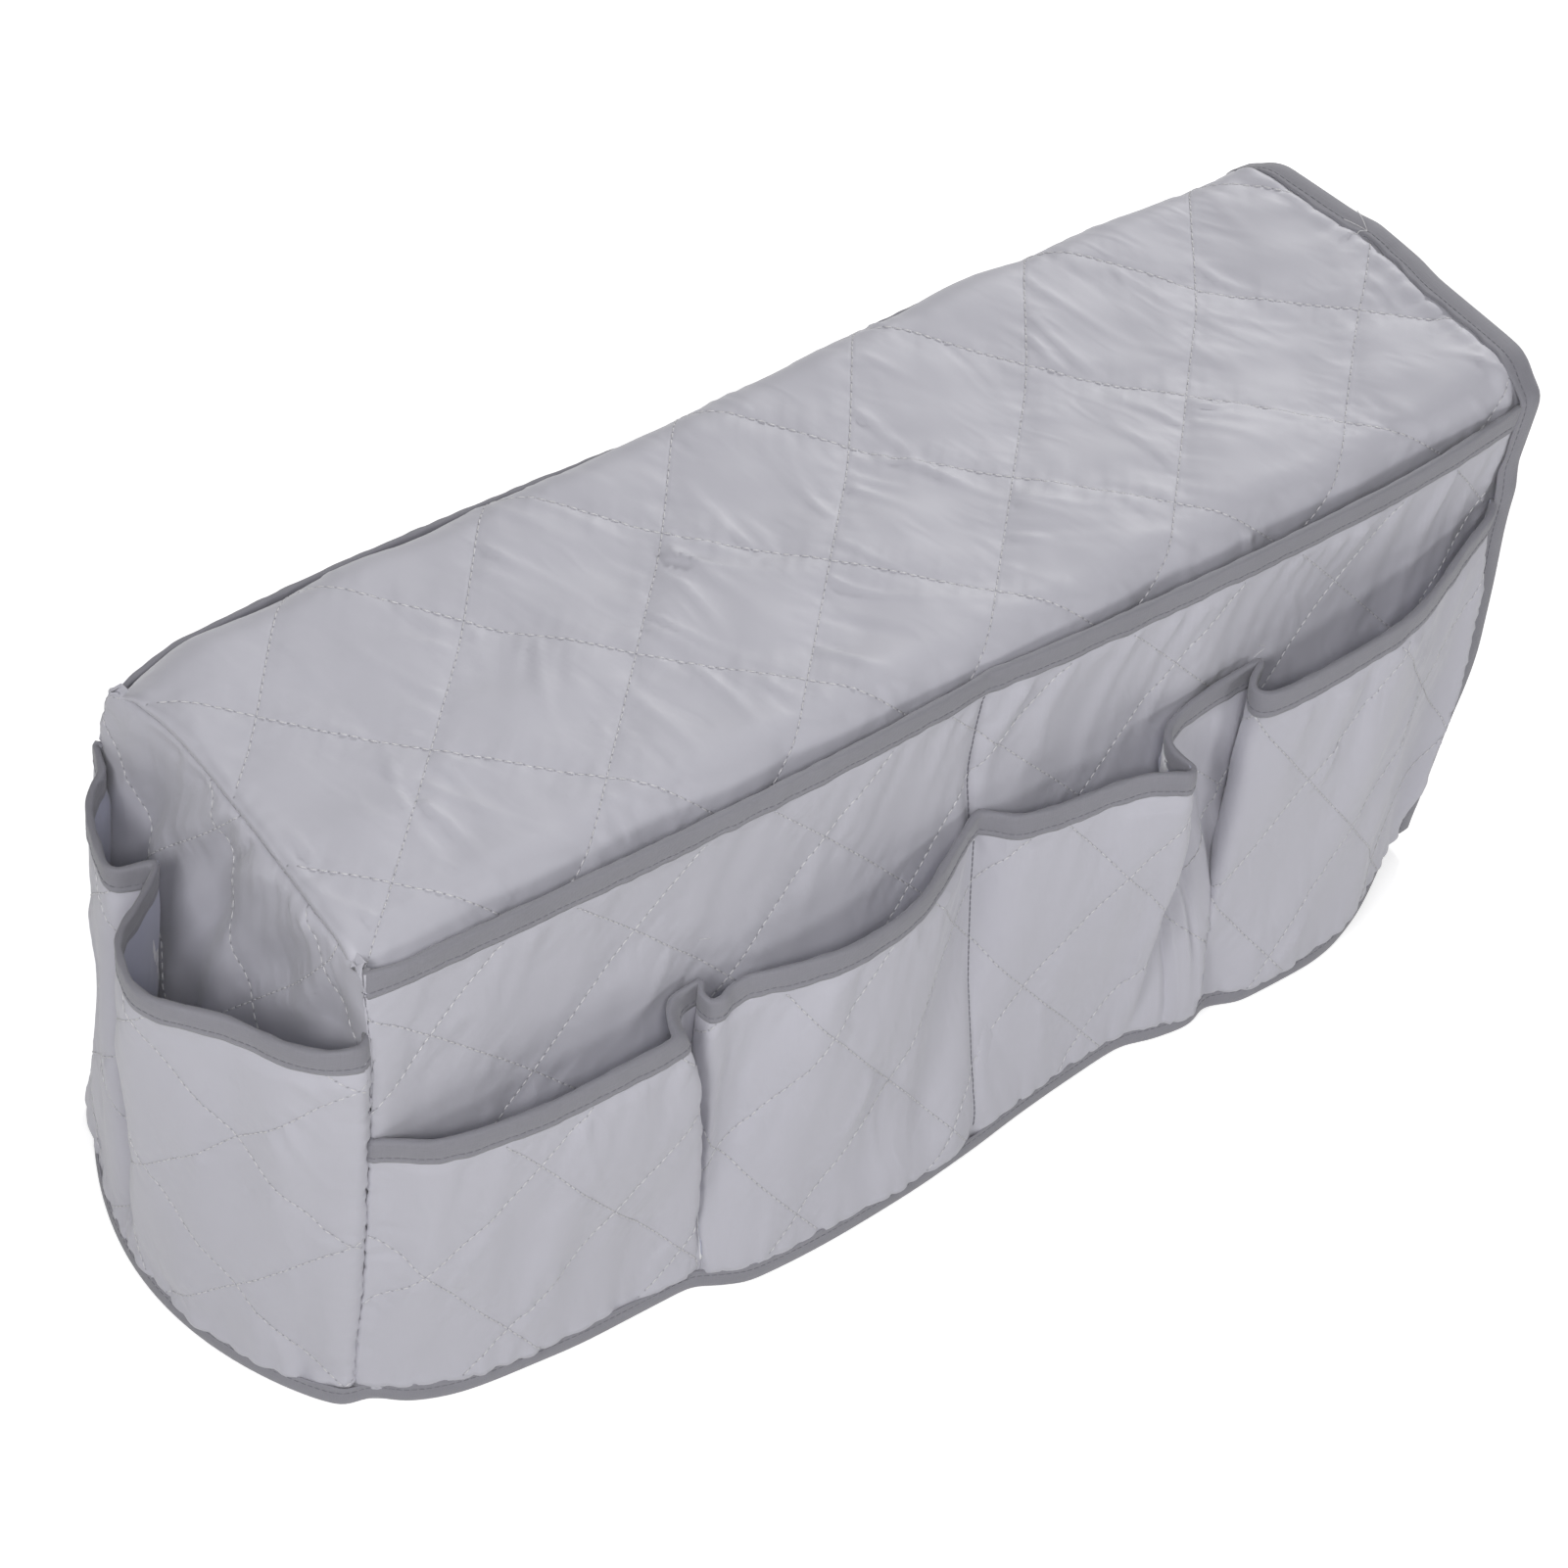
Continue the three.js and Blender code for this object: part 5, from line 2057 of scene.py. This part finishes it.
@dataclass(frozen=True)
class ClothFinish:
    """Finish of one cloth."""

    name: str
    colour: tuple[float, float, float]
    roughness: float
    sheen: float
    weave_pitch: float
    weave_height: float
    crumple: float = 0.0
    lines: bool = False
    mottle: float = 0.06
    groove: float = 0.12
    pucker: float = 0.4

    def material(self, groups: dict[str, bpy.types.NodeTree]) -> bpy.types.Material:
        """Material of this finish.

        Args:
            groups: the shared node groups by short name.

        Returns:
            The material.
        """
        material, net, shader = new_material(self.name)
        weave, wear = (net.node("ShaderNodeGroup", node_tree=groups[name]) for name in ("weave", "wear"))
        net.put(weave.inputs["Thread pitch"], self.weave_pitch * MM)
        tone = net.plus(1.0, net.plus(net.times(weave.outputs["Tone"], self.mottle),
                                      net.times(wear.outputs["Tone"], self.mottle * 1.6)))
        height = net.times(weave.outputs["Height"], self.weave_height * MM)
        if self.crumple:
            height = net.plus(height, net.times(wear.outputs["Height"], self.crumple * MM))
        if self.lines:
            stitched, puckers = (net.node("ShaderNodeGroup", node_tree=groups[name])
                                 for name in ("lines", "puckers"))
            height = net.plus(height, net.times(stitched.outputs["Height"], self.groove * MM))
            height = net.plus(height, net.times(puckers.outputs["Height"], self.pucker * MM))
            # painted shade: the cloth's colour is darkened round each needle hole of the quilting lines
            tone = net.times(tone, net.math("SUBTRACT", 1.0, net.times(stitched.outputs["Hole shade"], 0.5)))
        bump = net.node("ShaderNodeBump", {"Height": height, "Strength": 1.0, "Distance": 1.0})
        rough = net.plus(self.roughness, net.times(wear.outputs["Tone"], 0.12))
        for socket, value in (("Sheen Weight", self.sheen), ("Sheen Roughness", 0.45),
                              ("Base Color", net.tinted(self.colour, tone)), ("Roughness", rough),
                              ("Normal", bump.outputs[0])):
            net.put(shader.inputs[socket], value)
        return material


@dataclass(frozen=True)
class PlainFinish:
    """Finish of thread and of wadding: a soft fibre with uneven tone."""

    name: str
    colour: tuple[float, float, float]
    roughness: float
    scale: float = 900.0

    def material(self) -> bpy.types.Material:
        """Material of this finish."""
        material, net, shader = new_material(self.name)
        place = net.node("ShaderNodeTexCoord").outputs["Object"]
        fibres = net.node("ShaderNodeTexNoise", {"Vector": place, "Scale": self.scale, "Detail": 2.0})
        tone = net.ease(fibres.outputs["Fac"], 0.25, 0.75, 0.88, 1.1)
        net.put(shader.inputs["Base Color"], net.tinted(self.colour, tone))
        net.put(shader.inputs["Roughness"], self.roughness)
        return material


class Finishes:
    """All the product's materials."""

    def __init__(self) -> None:
        """Makes the node groups once and one material for each finish."""
        groups = {"weave": weave_group(), "wear": wear_group(), "lines": stitched_group(),
                  "puckers": pucker_group()}
        self.face = ClothFinish("satin_face_cloth", (0.475, 0.47, 0.522), 0.58, 0.3, 0.45, 0.012,
                                crumple=0.17, lines=True).material(groups)
        self.lining = ClothFinish("thin_lining_cloth", (0.42, 0.43, 0.53), 0.55, 0.2, 0.5, 0.015,
                                  crumple=0.22, lines=True).material(groups)
        self.binding = ClothFinish("woven_tape", (0.235, 0.232, 0.262), 0.7, 0.25, 0.7, 0.07,
                                   mottle=0.22).material(groups)
        self.wadding = PlainFinish("soft_wadding", (0.8, 0.8, 0.81), 0.95, 400).material()
        self.quilting_thread = PlainFinish("quilting_thread", (0.59, 0.585, 0.60), 0.5).material()
        # partly painted shade: the thread is real, but its colour is set darker than the tape so that the
        # stitch lines also show the shade of the creases they lie in
        self.tape_thread = PlainFinish("tape_thread", (0.17, 0.168, 0.195), 0.5).material()


def dress(piece: Piece, material: bpy.types.Material) -> None:
    """Gives a piece its material."""
    piece.data.materials.clear()
    piece.data.materials.append(material)


@dataclass(frozen=True)
class Studio:
    """Floor, lights and camera around the product."""

    eye: tuple[float, float, float] = (-0.7749, -0.8431, 1.3651)
    aim: tuple[float, float, float] = (-0.0863, -0.0959, 0.2617)
    roll: float = 7.69
    lens: float = 89.94

    def build(self) -> None:
        """Makes all of it."""
        self.add_camera()
        self.add_floor()
        self.add_world()
        self.add_lamp("camera side", (-0.9, -1.3, 1.9), 0.6, 16)
        self.add_lamp("across the top", (2.5, 1.7, 1.6), 0.4, 56)
        self.add_lamp("closed end", (-1.7, -0.8, 1.6), 0.8, 20)
        self.add_lamp("low front", (0.9, -1.9, 0.9), 0.6, 9)

    def add_camera(self) -> None:
        """Puts the camera where the photograph was taken from."""
        data = bpy.data.cameras.new("photo_camera")
        data.lens = self.lens
        data.sensor_width = 36
        camera = add_object("photo_camera", data)
        view = Vector(self.aim) - Vector(self.eye)
        turn = view.to_track_quat("-Z", "Y").to_matrix().to_4x4()
        roll = Matrix.Rotation(np.radians(self.roll), 4, "Z")
        camera.matrix_world = Matrix.Translation(self.eye) @ turn @ roll
        bpy.context.scene.camera = camera

    def add_floor(self) -> None:
        """White floor that still shows the product's shadow."""
        bm = bmesh.new()
        bmesh.ops.create_grid(bm, x_segments=1, y_segments=1, size=4)
        floor = add_object("floor", mesh_of(bm, "floor"))
        floor.location.z = -0.0005
        material, net, shader = new_material("floor")
        seen = net.node("ShaderNodeLightPath").outputs["Is Camera Ray"]
        for socket, value in (("Base Color", (0.8, 0.8, 0.8, 1)), ("Roughness", 1),
                              ("Emission Color", (1, 1, 1, 1)), ("Emission Strength", net.times(seen, 0.5))):
            net.put(shader.inputs[socket], value)
        dress(floor, material)

    def add_world(self) -> None:
        """Even soft light all round, white to the camera."""
        world = bpy.data.worlds.new("studio")
        bpy.context.scene.world = world
        world.use_nodes = True
        net, background = Network(world.node_tree), world.node_tree.nodes["Background"]
        seen = net.node("ShaderNodeLightPath").outputs["Is Camera Ray"]
        level = net.node("ShaderNodeMapRange", {"Value": seen, "To Min": 0.2, "To Max": 1.0})
        net.put(background.inputs["Color"], (1, 1, 1, 1))
        net.put(background.inputs["Strength"], level.outputs["Result"])

    @staticmethod
    def add_lamp(name: str, place: tuple[float, float, float], size: float, power: float) -> None:
        """Adds one large soft lamp that points at the product.

        Args:
            name: name of the lamp.
            place: where it stands, in metres.
            size: its width, in metres.
            power: its power, in watts.
        """
        data = bpy.data.lights.new(name, "AREA")
        data.shape = "DISK"
        data.size = size
        data.energy = power
        lamp = add_object(name, data)
        lamp.location = place
        aim = Vector((0, 0, 0.15)) - Vector(place)
        lamp.rotation_euler = aim.to_track_quat("-Z", "Y").to_euler()


def main() -> None:
    """Builds the studio and the product, piece by piece."""
    logging.basicConfig(level=logging.INFO, format="%(message)s")
    bpy.context.scene.view_settings.view_transform = "Standard"
    Studio().build()
    far_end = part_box("open_end_binding")[1].x / MM
    plain = CoverSizes(start=0.0)
    sizes = CoverSizes(start=far_end - plain.length - plain.tape_reach)
    side = SideShape(sizes)
    shop = Workshop(sizes, side, EndShape(sizes, side), QuiltedPatch())
    shop.patch.simulate()
    log.info("quilted patch simulated: %.1f mm", float(np.ptp(shop.patch.heights)))
    back = {"bare": (2, 7, 0), "which": Side.BACK}
    pocket = sizes.pocket
    panels = [
        Cover("cover", shop, sizes.cover, QuiltPattern((361, 12)), 11),
        EndPanel("end_panel", shop, sizes.cover, QuiltPattern((84, 18), (88, 110)), 21),
        LargePocket("front_large", shop, pocket, QuiltPattern((207, 46.8), (92.5, 99)), 31, bare=(12, 2, 0)),
        LargePocket("back_large", shop, pocket, QuiltPattern((80, 30)), 36, **back),
        SmallPockets("front_small", shop, pocket, QuiltPattern((66.8, 36.3), (84, 103), 0.06), 41),
        SmallPockets("back_small", shop, pocket, QuiltPattern((20, 30)), 46, thread_step=2.6, **back),
        EndPocket("end_pocket", shop, pocket, QuiltPattern((200.3, 70.6), (92, 99)), 51),
    ]
    cloths = Finishes()
    finishes = {"face": cloths.face, "wadding": cloths.wadding, "lining": cloths.lining}
    for panel in panels:
        panel.build()
        for layer, piece in panel.pieces.items():
            dress(piece, finishes[layer])
        dress(QUILTING_THREAD.sew(f"{panel.name}_quilting_thread", *panel.quilting_stitches(), Slot.FACE),
              cloths.quilting_thread)
    for panel in panels[2:6]:
        # partly painted shade: the dark thread also draws the shade of the seam's crease
        dress(SEAM_THREAD.sew(f"{panel.name}_centre_seam", *panel.centre_stitches(), Slot.BINDING),
              cloths.tape_thread)
    tapes = [MouthBinding(f"{panel.name}_binding", 61 + 2 * number, panel)
             for number, panel in enumerate(panels[2:])]
    open_end = OpenEndBinding("open_end_binding", 71, shop)
    for band in (*tapes, open_end, HemBinding("hem_binding", 81, shop)):
        band.build()
        dress(band.piece, cloths.binding)
        name = band.panel.name if band in tapes else band.name
        stitches = TOPSTITCH_THREAD.along(band.stitch_line, band.stitch_normals)
        dress(TOPSTITCH_THREAD.sew(f"{name}_topstitch", *stitches, Slot.BINDING), cloths.tape_thread)
    dress(loose_ends(panels[2].face, open_end), cloths.quilting_thread)


if __name__ == "__main__":
    main()
